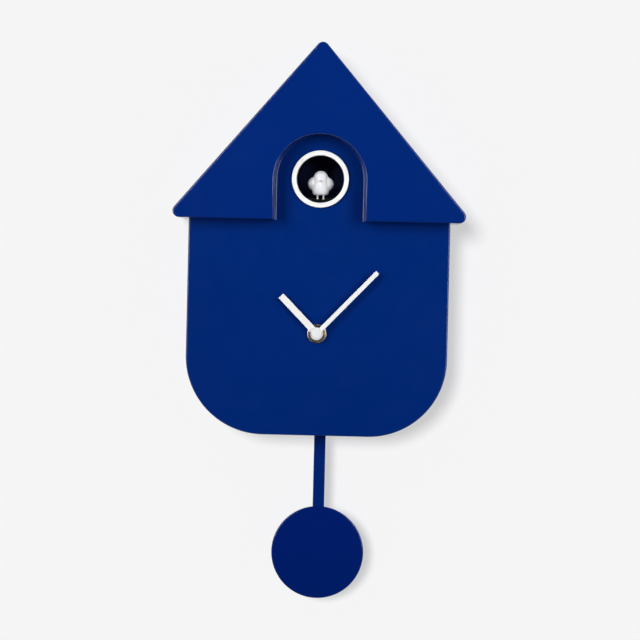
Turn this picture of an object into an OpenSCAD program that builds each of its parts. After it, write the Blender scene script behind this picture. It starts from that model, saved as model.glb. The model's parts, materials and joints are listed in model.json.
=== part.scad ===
// House-shaped wall clock with a cuckoo behind a round porthole, a pendulum and a quartz movement.
// The origin is the centre of the hanging hole on the wall plane. +Z is up and the dial faces -Y.

/* [Roof cover] */
// Width of the gable between its sharp lower corners
roof_w = 223.6; // [215:0.2:240]
// Height of the gable from its base to its sharp peak
roof_h = 131.6; // [125:0.2:145]
// Distance from the wall to the face of the gable
roof_depth = 80; // [76:1:90]
// Radius of the gable's corners
roof_corner_r = 4.8; // [3:0.1:8]
// Thickness of the gable's walls
roof_wall = 3; // [2:0.1:3.5]
// Gap between the wall of the room and the roof's rear edge
roof_back_gap = 3; // [1:0.5:6]
// Rounding of the gable's front edge
roof_bevel = 1.2; // [0.5:0.1:2]
// Width of the arched recess where it meets the dial face
arch_floor_w = 63.2; // [58:0.2:66]
// Width of the arched recess at the face of the gable
arch_mouth_w = 68.8; // [67:0.2:76]

/* [Front case] */
// Width of the body
case_w = 191; // [180:1:196]
// Drop of the body below the base of the gable
case_drop = 157; // [150:1:180]
// Distance from the wall to the dial face
case_depth = 60; // [58:1:64]
// Radius of the body's lower corners
case_corner_r = 57; // [40:1:60]
// Thickness of the body's walls
case_wall = 3; // [2:0.1:3.5]
// Rounding of the body's front edge
case_bevel = 1; // [0.5:0.1:1.5]

/* [Back cover] */
// Thickness of the back cover
cover_t = 2.5; // [2:0.1:3]
// Height of the hanging hole above the base of the gable
hang_rise = 71; // [66:1:76]
// Radius of the hanging hole where the nail's head goes in
hang_r = 4.5; // [4:0.1:6]
// Width of the slot above the hanging hole
hang_slot_w = 4.4; // [3:0.1:4.8]
// Length of that slot above the hole's centre
hang_slot_h = 9; // [7:0.5:12]

/* [Porthole and bird] */
// Height of the porthole's centre above the base of the gable
porthole_rise = 30.3; // [29:0.1:32]
// Inner radius of the porthole ring
ring_in_r = 17.3; // [17:0.1:18]
// Outer radius of the porthole ring
ring_out_r = 21; // [20.5:0.1:24]
// How far the ring stands proud of the dial face
ring_proud = 2.8; // [2:0.1:4]
// Wall thickness of the tunnel behind the ring
tunnel_wall = 2.6; // [2.2:0.1:4]
// Drop of the perch below the porthole's centre
perch_drop = 14.6; // [14.4:0.1:14.8]
// Width of the bird's slide
slide_w = 10; // [9:0.1:10]
// Thickness of the bird's slide
slide_t = 1.6; // [1.2:0.1:1.7]
// How far the bird comes forward
bird_travel = 28; // [20:1:29]
// Radius of the bird's head
bird_head_r = 5.6; // [4.6:0.1:6]
// Radius of the bird's body
bird_body_r = 6.6; // [5.8:0.1:7]
// Reach of the bird's wings to each side
wing_out = 9.7; // [8.5:0.1:10.5]
// Radius of the round wings, seen from the side
wing_r = 5.2; // [4.5:0.1:5.6]

/* [Movement] */
// Drop of the hands' axis below the base of the gable
hub_drop = 82.4; // [78:0.1:86]
// Side of the square movement case
move_size = 56; // [54:0.5:60]
// Depth of the movement case
move_depth = 15; // [15:0.1:17]
// Wall thickness of the movement case
move_wall = 1.5; // [1.5:0.1:1.8]
// Radius of the threaded bushing
bushing_r = 4.5; // [4.2:0.1:5]
// Radius of the round fixing nut
nut_r = 7; // [6:0.1:9]
// Thickness of the fixing nut
nut_t = 2.4; // [1.6:0.1:2.8]
// Length of the hour hand from its axis
hour_len = 38; // [30:0.5:45]
// Width of the hour hand
hour_w = 4.9; // [3:0.1:7]
// Length of the minute hand from its axis
minute_len = 63; // [50:0.5:70]
// Width of the minute hand
minute_w = 3.3; // [2:0.1:5]
// Thickness of both hands
hand_t = 0.8; // [0.5:0.1:0.9]
// Radius of the round middle of both hands
hand_hub_r = 4.6; // [4:0.1:6]
// Direction of the hour hand, clockwise from the top
hour_dir = 315.5; // [0:0.5:359.5]
// Direction of the minute hand, clockwise from the top
minute_dir = 43.5; // [0:0.5:359.5]

/* [Gears] */
// Module of the wheels under the hands
motion_module = 0.5; // [0.46:0.01:0.52]
// Module of the wheels of the going train
train_module = 0.27; // [0.25:0.01:0.28]
// Module of the bird's rack and its pinion
rack_module = 0.8; // [0.7:0.05:0.85]

/* [Pendulum] */
// How far the pendulum hangs right of the hands' axis
pendulum_x = 3.6; // [0:0.1:5]
// Height of the pendulum's pin above the hands' axis
pivot_rise = 20; // [17:0.5:21]
// Length from the pin to the middle of the disc
pendulum_len = 182; // [165:1:200]
// Swing to each side, in degrees
swing = 7; // [3:0.5:8]
// Width of the flat rod
rod_w = 8.5; // [6:0.1:10]
// Thickness of the flat rod
rod_t = 2.2; // [1.5:0.1:2.4]
// Radius of the disc
disc_r = 34; // [28:0.5:42]
// Thickness of the disc
disc_t = 4.4; // [4:0.1:6]

/* [Sound and power] */
// Radius of the loudspeaker
speaker_r = 25; // [22:0.5:26]
// Radius of a battery cell
cell_r = 7.1; // [6.8:0.1:7.2]
// Length of a cell's body
cell_len = 49.2; // [48:0.1:50]
// Number of cells
cells = 3; // [2:1:3]
// Travel of the sound switch to each side
switch_travel = 2.5; // [1.5:0.1:3]

/* [Hidden] */
$fn = 48;
eps = 0.5;            // overrun of a cut past a face
fit = 0.3;            // gap round a loose piece
snug = 0.05;          // gap round a shaft or a screw

// Heights and depths that everything is placed from
base_z = -hang_rise;
apex_z = base_z + roof_h;
porthole_z = base_z + porthole_rise;
hub_z = base_z - hub_drop;
bottom_z = base_z - case_drop;
pivot_z = hub_z + pivot_rise;
face_y = -case_depth;
inner_y = face_y + case_wall;
roof_y = -roof_depth;

// Slope of the gable: horizontal run for each millimetre of height, and for a wall's thickness
slope = roof_w / 2 / roof_h;
slope_run = sqrt(1 + slope * slope);

// Wall round the arch behind the gable's face
arch_wall = 2.4;

// Screws
screw_r = 1.5;
screw_head_r = 2.8;
screw_head_t = 2;
small_screw_r = 1.1;
small_head_r = 2.2;
small_head_t = 1.4;
boss_r = 4.5;

gable = [[-roof_w / 2, base_z], [roof_w / 2, base_z], [0, apex_z]];
gable_r = [roof_corner_r, roof_corner_r, roof_corner_r];
// The body's sides run up to the gable's slope, one wall and one gap inside it
under_roof = (roof_wall + fit) * slope_run;
eave_z = base_z + (roof_w / 2 - under_roof - case_w / 2) / slope;
house = [[-case_w / 2, bottom_z], [case_w / 2, bottom_z], [case_w / 2, eave_z],
         [0, apex_z - under_roof / slope], [-case_w / 2, eave_z]];
house_r = [case_corner_r, case_corner_r, case_wall + 1, case_wall + 2, case_wall + 1];

arch_top_z = porthole_z + arch_mouth_w / 2 + arch_wall;
roof_screw_in = 50;   // from the gable's sharp lower corners in to the lower roof screws
roof_screw_up = 24;   // from the gable's base up to them
top_screw_up = 11;    // from the arch up to the roof's top screw
top_screw_gap = 15.5; // from the roof's top screw up to the case's top screw
side_screw_in = 10.5; // from the body's side in to the case's side screws
side_screw_up = 4;    // from the gable's base up to them
low_screw_in = 8;     // from the inside of a lower corner in to its case screw
roof_screw_x = roof_w / 2 - roof_screw_in;
roof_screw_z = base_z + roof_screw_up;
top_screw_z = arch_top_z + top_screw_up;
roof_screws = [[-roof_screw_x, roof_screw_z], [roof_screw_x, roof_screw_z], [0, top_screw_z]];
corner_in = (case_corner_r - case_wall - low_screw_in) * cos(45);
side_screw_x = case_w / 2 - side_screw_in;
side_screw_z = base_z + side_screw_up;
case_screws = [
    [-side_screw_x, side_screw_z], [side_screw_x, side_screw_z],
    [-case_w / 2 + case_corner_r - corner_in, bottom_z + case_corner_r - corner_in],
    [case_w / 2 - case_corner_r + corner_in, bottom_z + case_corner_r - corner_in],
    [0, top_screw_z + top_screw_gap]];
well_depth = 7;       // wells of the back cover's screws
well_floor = 2;
well_r = 5;

// Arch
arch_floor_r = arch_floor_w / 2;
arch_mouth_r = arch_mouth_w / 2;
arch_depth = roof_depth - case_depth;

// Porthole, tunnel and slide
spigot_t = 1.4;
spigot_y = inner_y + 2.8;
tunnel_in_r = ring_in_r + 0.3;
tunnel_out_r = tunnel_in_r + tunnel_wall;
tunnel_back_y = -5;
ear_x = tunnel_out_r + 6.5;
ear_boss_h = 5;
perch_z = porthole_z - perch_drop;
slide_front_y = inner_y;
pinion_teeth = 14;
pinion_r = pinion_teeth * rack_module / 2;
tooth_high = 0.75;    // height of a tooth above the pitch line, in modules
tooth_deep = 1.0;     // depth of a tooth below the pitch line, in modules
slide_back_y = tunnel_back_y - 1;
rack_spare = 4;       // length of the rack beyond what the pinion meets at each end of the travel
pinion_y = slide_back_y - bird_travel - rack_spare;
pinion_x = slide_w / 2 - tooth_high * rack_module + pinion_r;
motor_plate_z = porthole_z - tunnel_out_r;
motor_plate_t = 2;
gearbox_h = 9;

// Movement, from its front to its back
washer_t = 1;
move_y = inner_y + washer_t;
move_front_in = move_y + move_wall;
move_back_y = move_y + move_depth;
move_back_in = move_back_y - move_wall;
move_split_y = move_y + 9;
flange_r = 7;
flange_t = 0.8;
pipe_r = 2.5;
arbor_r = 1.5;
pivot_r = 0.7;
wheel_t = 1.2;
layer_gap = 0.3;
// Front of each layer of wheels
function layer(k) = move_front_in + layer_gap + k * (wheel_t + layer_gap);
end_front = move_front_in - 0.8;
end_back = move_back_in + 0.8;
bushing_front = face_y - 4.2;
pipe_front = bushing_front - 1.8;
hour_y = pipe_front + 0.2 + hand_t;
minute_y = pipe_front - 1.3;
minute_tip_y = minute_y - hand_t - 0.6;

// Wheels under the hands
cannon_teeth = 10;
motion_teeth = 30;
motion_pinion_teeth = 8;
hour_teeth = 32;
setting_teeth = 12;
motion_a = 225;       // direction of the motion wheel seen from the hands' axis
motion_d = motion_module * (cannon_teeth + motion_teeth) / 2;
setting_d = motion_d + motion_module * (motion_teeth + setting_teeth) / 2;
motion_at = [motion_d * cos(motion_a), hub_z + motion_d * sin(motion_a)];
setting_at = [setting_d * cos(motion_a), hub_z + setting_d * sin(motion_a)];

// Going train
centre_teeth = 64;
third_teeth = 60;
leaf_teeth = 8;
seconds_teeth = 48;
inter_teeth = 40;
third_a = 90;
seconds_a = -10;
inter_a = -60;
rotor_a = -90;
train_open = 0.6;     // extra distance where the train is left out of mesh
third_d = train_module * (centre_teeth + leaf_teeth) / 2;
seconds_d = train_module * (third_teeth + leaf_teeth) / 2;
inter_d = train_module * (seconds_teeth + leaf_teeth) / 2 + train_open;
rotor_module = train_module * 0.85;
rotor_d = rotor_module * (inter_teeth + leaf_teeth) / 2;
third_at = [third_d * cos(third_a), hub_z + third_d * sin(third_a)];
seconds_at = third_at + seconds_d * [cos(seconds_a), sin(seconds_a)];
inter_at = seconds_at + inter_d * [cos(inter_a), sin(inter_a)];
rotor_at = inter_at + rotor_d * [cos(rotor_a), sin(rotor_a)];
magnet_r = 2.2;
stator_y = layer(3) + wheel_t;
stator_t = wheel_t;
coil_z = hub_z - 21;
coil_r = 3.2;

// Setting knob and its well in the back cover
knob_r = 7;
knob_t = 5.6;
knob_well_r = 9;
knob_well_depth = 7.5;
knob_front_y = -1 - knob_t;

// Pendulum, from the movement's back towards the wall
hanger_t = 3.4;
hanger_boss_h = 2.8;
hanger_y = move_back_y + hanger_boss_h + 0.2 + hanger_t;
pin_r = 1.2;
rod_y = hanger_y + rod_t;
peg_r = 1.4;
disc_z = pivot_z - pendulum_len;
slot_half = rod_w / 2 + (pivot_z - bottom_z) * tan(swing) + 1.5;
slot_y_gap = 4;
drive_drop = 27;      // drop of the magnet and its coil below the pin

// Back cover fittings
door_t = 2.2;
door_axis_y = -door_t / 2;
trunnion_r = 0.6;
bay_w = cells * (2 * cell_r + 0.5) + 1.5;
bay_len = cell_len + 8.5;
bay_x = case_w / 2 - 17.9 - bay_w / 2;
bay_z = hub_z - 9;
bay_depth = door_t + 2 * cell_r + 1.4;
bay_wall = 1.6;
door_w = bay_w + 4;
door_h = bay_len + 5;
door_low_z = bay_z - door_h / 2;
cell_y = -door_t - 0.6 - cell_r;
nub_h = 1.3;
speaker_at = [-case_w / 2 + 45.5, hub_z + 34];
speaker_flange_t = 1.2;
speaker_depth = 10;   // depth of the speaker's basket
speaker_sheet = 1;    // thickness of the basket's floor
basket_r = 12.4;      // radius of the basket at its floor
basket_skin = 0.8;    // thickness of its sloping side
window_r = 17.5;      // distance of the basket's windows from its axis
window_w = 9;
window_h = 3.6;
speaker_magnet_r = 10;
speaker_magnet_t = 5;
coil_mouth_r = 6;     // radius of the speaker's voice coil
cone_skin = 0.5;
dust_cap_h = 5.6;     // depth of the cone's domed middle
board_at = [-case_w / 2 + 42.5, hub_z - 23];
board_w = 46;
board_h = 42;
board_t = 1.6;
board_y = -10.4;
switch_at = [board_at[0] + 6, board_at[1] - 12];

// ---- Helpers ----

// An outline in X and Z, carried from depth y towards the room by t
module slab(y, t) translate([0, y, 0]) rotate([90, 0, 0]) linear_extrude(t) children();

// A round bar along the depth at [x, z], from depth y towards the room by t
module round_bar(at, y, r, t) translate([at[0], y, at[1]]) rotate([90, 0, 0]) cylinder(r = r, h = t);

// A profile of radius and forward distance, turned about the depth axis at [x, z]
module turned(at, y) translate([at[0], y, at[1]]) rotate([90, 0, 0]) rotate_extrude() children();

// A box between two corners
module box(a, b) translate(a) cube(b - a);

function unit(v) = v / norm(v);
function left_of(v) = [-v[1], v[0]];
function edge_in(pts, i) = left_of(unit(pts[i] - pts[(i + len(pts) - 1) % len(pts)]));
function edge_out(pts, i) = left_of(unit(pts[(i + 1) % len(pts)] - pts[i]));
function inset_point(pts, i, d) =
    let(a = edge_in(pts, i), b = edge_out(pts, i)) pts[i] + d * (a + b) / (1 + a * b);
function inset(pts, d) = [for (i = [0:len(pts) - 1]) inset_point(pts, i, d)];
function less(radii, d) = [for (r = radii) max(r - d, 0.5)];

// A convex outline, its corners given counter-clockwise, each rounded by its own radius
module rounded(pts, radii) {
    centres = [for (i = [0:len(pts) - 1]) inset_point(pts, i, radii[i])];
    polygon([for (i = [0:len(pts) - 1])
        for (p = [centres[i] - radii[i] * edge_in(pts, i), centres[i] - radii[i] * edge_out(pts, i)]) p]);
    for (i = [0:len(pts) - 1]) translate(centres[i]) circle(radii[i], $fn = 96);
}

// The same outline as one polygon, its arcs in steps of at most 4 degrees from one side to the next
arc_step = 4;
function arc_turn(pts, i) = acos(edge_in(pts, i) * edge_out(pts, i));
function arc_points(pts, i, r) =
    let(a = edge_in(pts, i), from = atan2(-a[1], -a[0]), turn = arc_turn(pts, i), n = ceil(turn / arc_step))
    [for (k = [0:n]) inset_point(pts, i, r) + r * [cos(from + turn * k / n), sin(from + turn * k / n)]];
module stepped(pts, radii) polygon([for (i = [0:len(pts) - 1]) for (p = arc_points(pts, i, radii[i])) p]);

// A plate from depth y towards the room by t, with its front edge rounded by b
module soft_plate(pts, radii, y, t, b) {
    hull() for (a = [0, 45, 90])
        slab(y, t - b * (1 - sin(a))) stepped(inset(pts, b * (1 - cos(a))), less(radii, b * (1 - cos(a))));
}

// A rectangle about [x, z] with rounded corners
module soft_rect(at, w, h, r) translate(at)
    rounded([[-w / 2, -h / 2], [w / 2, -h / 2], [w / 2, h / 2], [-w / 2, h / 2]], [r, r, r, r]);

// Gear teeth: pressure angle 25 degrees, stub height, flanks thinned for a little play
press = 25;
play = 0.06;
function involute(a) = tan(a) * 180 / PI - a;
function half_tooth(z, m, r) = let(rp = z * m / 2, rb = rp * cos(press))
    90 / z - play / rp * 90 / PI + involute(press) - (r > rb ? involute(acos(rb / r)) : 0);
function tooth_point(r, a) = r * [cos(a), sin(a)];
module gear(z, m, turn) {
    rp = z * m / 2;
    radii = [rp - tooth_deep * m, max(rp - 0.55 * m, rp * cos(press)), rp, rp + tooth_high * m];
    polygon([for (k = [0:z - 1]) for (s = [-1, 1]) for (j = [0:3])
        let(r = radii[s < 0 ? j : 3 - j])
        tooth_point(r, turn + k * 360 / z + s * half_tooth(z, m, r))]);
}
// Turn of a wheel of zb teeth that meets a wheel of za teeth, turned by ta, in direction a
function mesh_turn(a, za, ta, zb) = a + 180 - (180 - (a - ta) * za) / zb;

// A screw along the depth: its head's seat is at y and it runs towards the room by len
module screw(at, y, len, r, head_r, head_t) {
    difference() {
        round_bar(at, y + head_t, head_r, head_t);
        for (a = [0, 90]) translate([at[0], y + head_t, at[1]]) rotate([0, a, 0])
            cube([head_r * 1.2, head_t * 0.9, head_r * 0.25], center = true);
    }
    round_bar(at, y, r, len);
}

// ---- Case ----

// The arch, widening towards the room; grow moves its surface outwards
module arch(y, t, grow) {
    taper = (arch_mouth_r - arch_floor_r) / arch_depth;
    r_back = arch_floor_r + (face_y - y) * taper + grow;
    r_front = r_back + t * taper;
    translate([0, y, porthole_z]) rotate([90, 0, 0]) cylinder(r1 = r_back, r2 = r_front, h = t);
    low = base_z - eps;
    translate([0, 0, low]) linear_extrude(porthole_z - low)
        polygon([[-r_back, y], [-r_front, y - t], [r_front, y - t], [r_back, y]]);
}

module roof_cover() color("#00307a") {
    hollow = inset(gable, roof_wall);
    difference() {
        union() {
            difference() {
                soft_plate(gable, gable_r, -roof_back_gap, roof_depth - roof_back_gap, roof_bevel);
                slab(eps - roof_back_gap, roof_depth - roof_back_gap - roof_wall + eps)
                    stepped(hollow, less(gable_r, roof_wall));
            }
            intersection() {
                arch(face_y, arch_depth - roof_wall + eps, arch_wall);
                slab(face_y, arch_depth) stepped(gable, gable_r);
            }
            for (at = roof_screws) round_bar(at, face_y, boss_r, arch_depth - roof_wall + eps);
        }
        arch(face_y + eps, arch_depth + 2 * eps, 0);
        box([-case_w / 2 - fit, face_y, base_z - eps], [case_w / 2 + fit, eps, base_z + roof_wall + eps]);
        for (at = roof_screws) round_bar(at, face_y + eps, screw_r + snug, 9 + eps);
    }
}

module front_case() color("#012c76") difference() {
    union() {
        difference() {
            soft_plate(house, house_r, 0, case_depth, case_bevel);
            slab(eps, case_depth - case_wall + eps)
                stepped(inset(house, case_wall), less(house_r, case_wall));
        }
        for (at = case_screws) round_bar(at, -well_depth, well_r, case_depth - well_depth - case_wall + eps);
        for (s = [-1, 1]) {
            box([s * (case_w / 2 - 6) - 5, inner_y - eps, base_z + 3],
                [s * (case_w / 2 - 6) + 5, -well_depth - 2, base_z + 5]);
            round_bar([s * ear_x, porthole_z], inner_y + ear_boss_h, 3.2, ear_boss_h + eps);
        }
    }
    for (at = case_screws) round_bar(at, eps - well_depth, screw_r + snug, 11);
    for (at = roof_screws) round_bar(at, inner_y + eps, screw_r + 0.2, case_wall + 2 * eps);
    for (s = [-1, 1]) round_bar([s * ear_x, porthole_z], inner_y + ear_boss_h + eps, small_screw_r + snug, 6);
    round_bar([0, porthole_z], inner_y + eps, ring_in_r + spigot_t + 0.15, case_wall + 2 * eps);
    round_bar([0, hub_z], inner_y + eps, bushing_r + fit, case_wall + 2 * eps);
    box([pendulum_x - slot_half, rod_y - rod_t - slot_y_gap, bottom_z - eps],
        [pendulum_x + slot_half, rod_y + slot_y_gap, bottom_z + case_wall + eps]);
}

// The back cover's outline, inside the body's walls
module cover_outline(gap) rounded(inset(house, case_wall + gap), less(house_r, case_wall + gap));

module keyhole(y, t) {
    round_bar([0, 0], y, hang_r, t);
    slab(y, t) {
        translate([-hang_slot_w / 2, 0]) square([hang_slot_w, hang_slot_h]);
        translate([0, hang_slot_h]) circle(hang_slot_w / 2);
    }
}

module back_cover() color("#022a6c") difference() {
    pocket_w = door_w + 2 * fit;
    pocket_h = door_h + 2 * fit;
    union() {
        slab(0, cover_t) cover_outline(fit);
        for (at = case_screws) round_bar(at, 0, well_r, well_depth);
        slab(0, bay_depth + bay_wall)
            soft_rect([bay_x, bay_z], pocket_w + 2 * bay_wall, pocket_h + 2 * bay_wall, 2);
        round_bar(setting_at, 0, knob_well_r + 1.5, knob_well_depth + 1.5);
        for (p = board_posts()) round_bar(p, 0, 2.6, -board_y);
        for (p = speaker_bosses()) round_bar(p, 0, 2.6, cover_t + speaker_flange_t);
    }
    keyhole(eps, cover_t + 2 * eps);
    for (at = case_screws) {
        round_bar(at, eps, screw_head_r + 0.4, well_depth - well_floor + eps);
        round_bar(at, eps, screw_r + 0.2, well_depth + 2 * eps);
    }
    slab(eps, door_t + fit + eps) soft_rect([bay_x, bay_z], pocket_w, pocket_h, 1);
    slab(eps, bay_depth + eps) soft_rect([bay_x, bay_z], bay_w, bay_len, 1);
    for (s = [-1, 1]) translate([bay_x + s * pocket_w / 2, door_axis_y, door_low_z + door_t / 2])
        rotate([0, 90, 0]) cylinder(r = trunnion_r + snug, h = 2.4, center = true);
    round_bar(setting_at, eps, knob_well_r, knob_well_depth + eps);
    round_bar(setting_at, eps, arbor_r + fit, knob_well_depth + 3);
    for (p = board_posts()) round_bar(p, board_y + 6, small_screw_r + snug, 6 + eps);
    for (p = speaker_bosses())
        round_bar(p, -0.8, small_screw_r + snug, cover_t + speaker_flange_t);
    for (k = [-3:3]) slab(eps, cover_t + 2 * eps)
        soft_rect([speaker_at[0] + 6 * k, speaker_at[1]], 2.6,
            2 * sqrt(pow(speaker_r - 4, 2) - pow(6 * k, 2)), 1.2);
    slab(eps, cover_t + 2 * eps) soft_rect(switch_at, 4 + 2 * switch_travel + 2 * fit, 3.2 + 2 * fit, 0.5);
}

module porthole_ring() color("#f2f2ee") turned([0, porthole_z], face_y) {
    lip = (ring_out_r - ring_in_r) / 2;
    translate([ring_in_r, 0]) square([2 * lip, ring_proud - lip]);
    intersection() {
        translate([ring_in_r + lip, ring_proud - lip]) circle(lip);
        translate([ring_in_r, 0]) square([2 * lip, ring_proud]);
    }
    translate([ring_in_r, face_y - spigot_y]) square([spigot_t, spigot_y - face_y + eps]);
}

module bird_tunnel() color("#101114") {
    front = inner_y + 3.2;
    difference() {
        union() {
            difference() {
                union() {
                    round_bar([0, porthole_z], tunnel_back_y, tunnel_out_r, tunnel_back_y - inner_y);
                    box([-ear_x, inner_y + ear_boss_h, porthole_z - 3.6],
                        [ear_x, inner_y + ear_boss_h + 2, porthole_z + 3.6]);
                    for (s = [-1, 1]) round_bar([s * ear_x, porthole_z], inner_y + ear_boss_h + 2, 3.6, 2);
                    box([pinion_x - 6, pinion_y - 12, motor_plate_z - motor_plate_t],
                        [pinion_x + 6, pinion_y + 12, perch_z - slide_t - fit]);
                }
                round_bar([0, porthole_z], tunnel_back_y + eps, tunnel_in_r,
                    tunnel_back_y - inner_y + 2 * eps);
            }
            intersection() {
                round_bar([0, porthole_z], tunnel_back_y, tunnel_in_r + eps, tunnel_back_y - front);
                box([-tunnel_out_r, front, porthole_z - tunnel_out_r],
                    [tunnel_out_r, tunnel_back_y, perch_z + 1]);
            }
        }
        round_bar([0, porthole_z], front, ring_in_r + spigot_t + 0.15, 3.2 + eps);
        box([-slide_w / 2 - 0.1, inner_y - eps, perch_z - slide_t - 0.1],
            [slide_w / 2 + 0.1, tunnel_back_y + eps, perch_z + 0.1]);
        box([-3.9, inner_y - eps, perch_z], [3.9, tunnel_back_y + eps, perch_z + 2]);
        translate([pinion_x, pinion_y, perch_z - slide_t - fit])
            cylinder(r = pinion_r + rack_module + 0.4, h = slide_t + 2 * fit);
        translate([pinion_x, pinion_y, motor_plate_z - motor_plate_t - eps])
            cylinder(r = pin_r + 0.2, h = 10);
        for (s = [-1, 1]) {
            round_bar([s * ear_x, porthole_z], inner_y + ear_boss_h + 2 + eps, small_screw_r + 0.2, 3);
            translate([pinion_x, pinion_y + s * 9.5, motor_plate_z - motor_plate_t - eps])
                cylinder(r = small_screw_r + snug, h = 4.5);
        }
    }
}

module case_screws() color("#8b8d90")
    for (at = case_screws) screw(at, well_floor - well_depth, 10, screw_r, screw_head_r, screw_head_t);

module roof_screws() color("#8b8d90")
    for (at = roof_screws) screw(at, inner_y, 10, screw_r, screw_head_r, screw_head_t);

module tunnel_screws() color("#8b8d90")
    for (s = [-1, 1]) screw([s * ear_x, porthole_z], inner_y + ear_boss_h + 2, 7, small_screw_r,
        small_head_r, small_head_t);

// ---- Bird ----

bird_y = inner_y + 13;          // axis of the bird's body
wing_in = 3;                    // inner side of the wings, inside the body's outline
wing_edge = 6.4;                // where the wings' rounded edge begins
bird_low = perch_z + 3.2;       // underside of the body, above the perch
head_z = porthole_z + 1.3;
// Round profile of body and head; grow leaves a gap round it
module bird_profile(grow) {
    belly = bird_low + 4.6;
    difference() {
        union() {
            translate([0, belly - grow]) square([4.6 + grow, head_z - belly]);
            translate([0, belly]) circle(bird_body_r + grow);
            translate([0, head_z]) circle(bird_head_r + grow);
        }
        translate([-20, belly - 20]) square([20, 60]);
        translate([-1, bird_low - grow - 20]) square([20, 20]);
    }
}

module bird_body() color("#eeeeea") {
    translate([0, bird_y, 0]) rotate_extrude() bird_profile(0);
    // Tail, a flat wedge that rises behind the body
    difference() {
        translate([0, bird_y + 4, bird_low]) rotate([90, 0, 90]) linear_extrude(6, center = true)
            polygon([[0, 1.5], [11, 4.5], [11.6, 6.2], [0, 8]]);
        translate([0, bird_y, 0]) rotate_extrude() bird_profile(-0.2);
    }
}

// Each wing is a round, domed disc on the body's side
module bird_wings() color("#e8e8e4") for (s = [-1, 1]) difference() {
    translate([0, bird_y + 0.6, porthole_z - 3.4]) rotate([0, s * 90, 0]) rotate_extrude()
        polygon([[0, wing_in], [wing_r, wing_in],
            for (a = [0:15:90]) [wing_r * cos(a), wing_edge + (wing_out - wing_edge) * sin(a)]]);
    translate([0, bird_y, 0]) rotate_extrude() bird_profile(snug);
}

module bird_beak() color("#9a9a98") difference() {
    translate([0, bird_y - bird_head_r + 1, porthole_z - 1.2]) rotate([90, 0, 0])
        cylinder(r1 = 1.7, r2 = 0.3, h = 4.2);
    translate([0, bird_y, 0]) rotate_extrude() bird_profile(0.02);
}

module bird_legs() color("#c9c9c4") for (s = [-1, 1])
    translate([s * 2.35, bird_y, perch_z]) cylinder(r = 0.75, h = bird_low - perch_z);

module bird_carriage() color("#1b1c1f") {
    root_x = slide_w / 2 - (tooth_high + tooth_deep) * rack_module;
    rack_from = pinion_y - rack_spare;
    pitch = PI * rack_module;
    flank = tan(press) * rack_module;
    half = pitch / 4 - play / 2;
    last = floor((slide_back_y - pinion_y) / pitch);
    translate([0, 0, perch_z - slide_t]) linear_extrude(slide_t) {
        polygon([[-slide_w / 2, slide_front_y], [slide_w / 2, slide_front_y], [slide_w / 2, rack_from],
            [root_x, rack_from], [root_x, slide_back_y], [-slide_w / 2, slide_back_y]]);
        for (k = [-1:last]) translate([root_x, pinion_y + k * pitch]) polygon([
            [-eps, -half - flank * tooth_deep], [0, -half - flank * tooth_deep],
            [(tooth_high + tooth_deep) * rack_module, -half + flank * tooth_high],
            [(tooth_high + tooth_deep) * rack_module, half - flank * tooth_high],
            [0, half + flank * tooth_deep], [-eps, half + flank * tooth_deep]]);
    }
}

gearbox_top = motor_plate_z - motor_plate_t;

module carriage_pinion() color("#d8d6cc") {
    translate([pinion_x, pinion_y, perch_z - slide_t]) linear_extrude(slide_t)
        gear(pinion_teeth, rack_module, 180 + 180 / pinion_teeth);
    translate([pinion_x, pinion_y, gearbox_top - 5])
        cylinder(r = pin_r, h = perch_z - slide_t - gearbox_top + 5);
}

module bird_gearmotor() color("#b9bbbd") translate([pinion_x, pinion_y, gearbox_top]) difference() {
    union() {
        translate([-6, -5, -gearbox_h]) cube([12, 10, gearbox_h]);
        translate([-5, -12, -2]) cube([10, 24, 2]);
        translate([0, 0, -gearbox_h - 15]) cylinder(r = 5.9, h = 15);
        translate([0, 0, -gearbox_h - 16.2]) cylinder(r = 2, h = 1.2);
    }
    translate([0, 0, -5.5]) cylinder(r = pin_r + snug, h = 6);
    for (s = [-1, 1]) translate([0, s * 9.5, -3]) cylinder(r = small_screw_r + 0.2, h = 4);
}

module motor_screws() color("#8b8d90") for (s = [-1, 1])
    translate([pinion_x, pinion_y + s * 9.5, gearbox_top - 2]) rotate([-90, 0, 0])
        screw([0, 0], 0, 5.5, small_screw_r, small_head_r, small_head_t);

// ---- Movement ----

module move_outline(gap) soft_rect([0, hub_z], move_size - 2 * gap, move_size - 2 * gap, 3 - gap);
arbors = [motion_at, third_at, seconds_at, inter_at, rotor_at];
stator_posts = [[-5.7, hub_z - 21], [21.7, hub_z - 14]];
board_pins = [[-23, hub_z + 6], [-23, hub_z + 21]];

module movement_front() color("#ddd9cf") difference() {
    union() {
        difference() {
            slab(move_split_y, move_split_y - move_y) move_outline(0);
            slab(move_split_y + eps, move_split_y - move_front_in + eps) move_outline(move_wall);
        }
        for (p = stator_posts)
            round_bar(p, stator_y - stator_t, 1.2, stator_y - stator_t - move_front_in + eps);
        for (p = board_pins) round_bar(p, layer(3), 2, layer(3) - move_front_in + eps);
    }
    round_bar([0, hub_z], move_y + flange_t, flange_r + snug, flange_t + eps);
    round_bar([0, hub_z], move_front_in + eps, bushing_r - 0.5 + snug, move_wall + eps);
    for (p = concat(arbors, [setting_at])) round_bar(p, move_front_in + eps, pivot_r + snug, 1 + eps);
}

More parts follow.
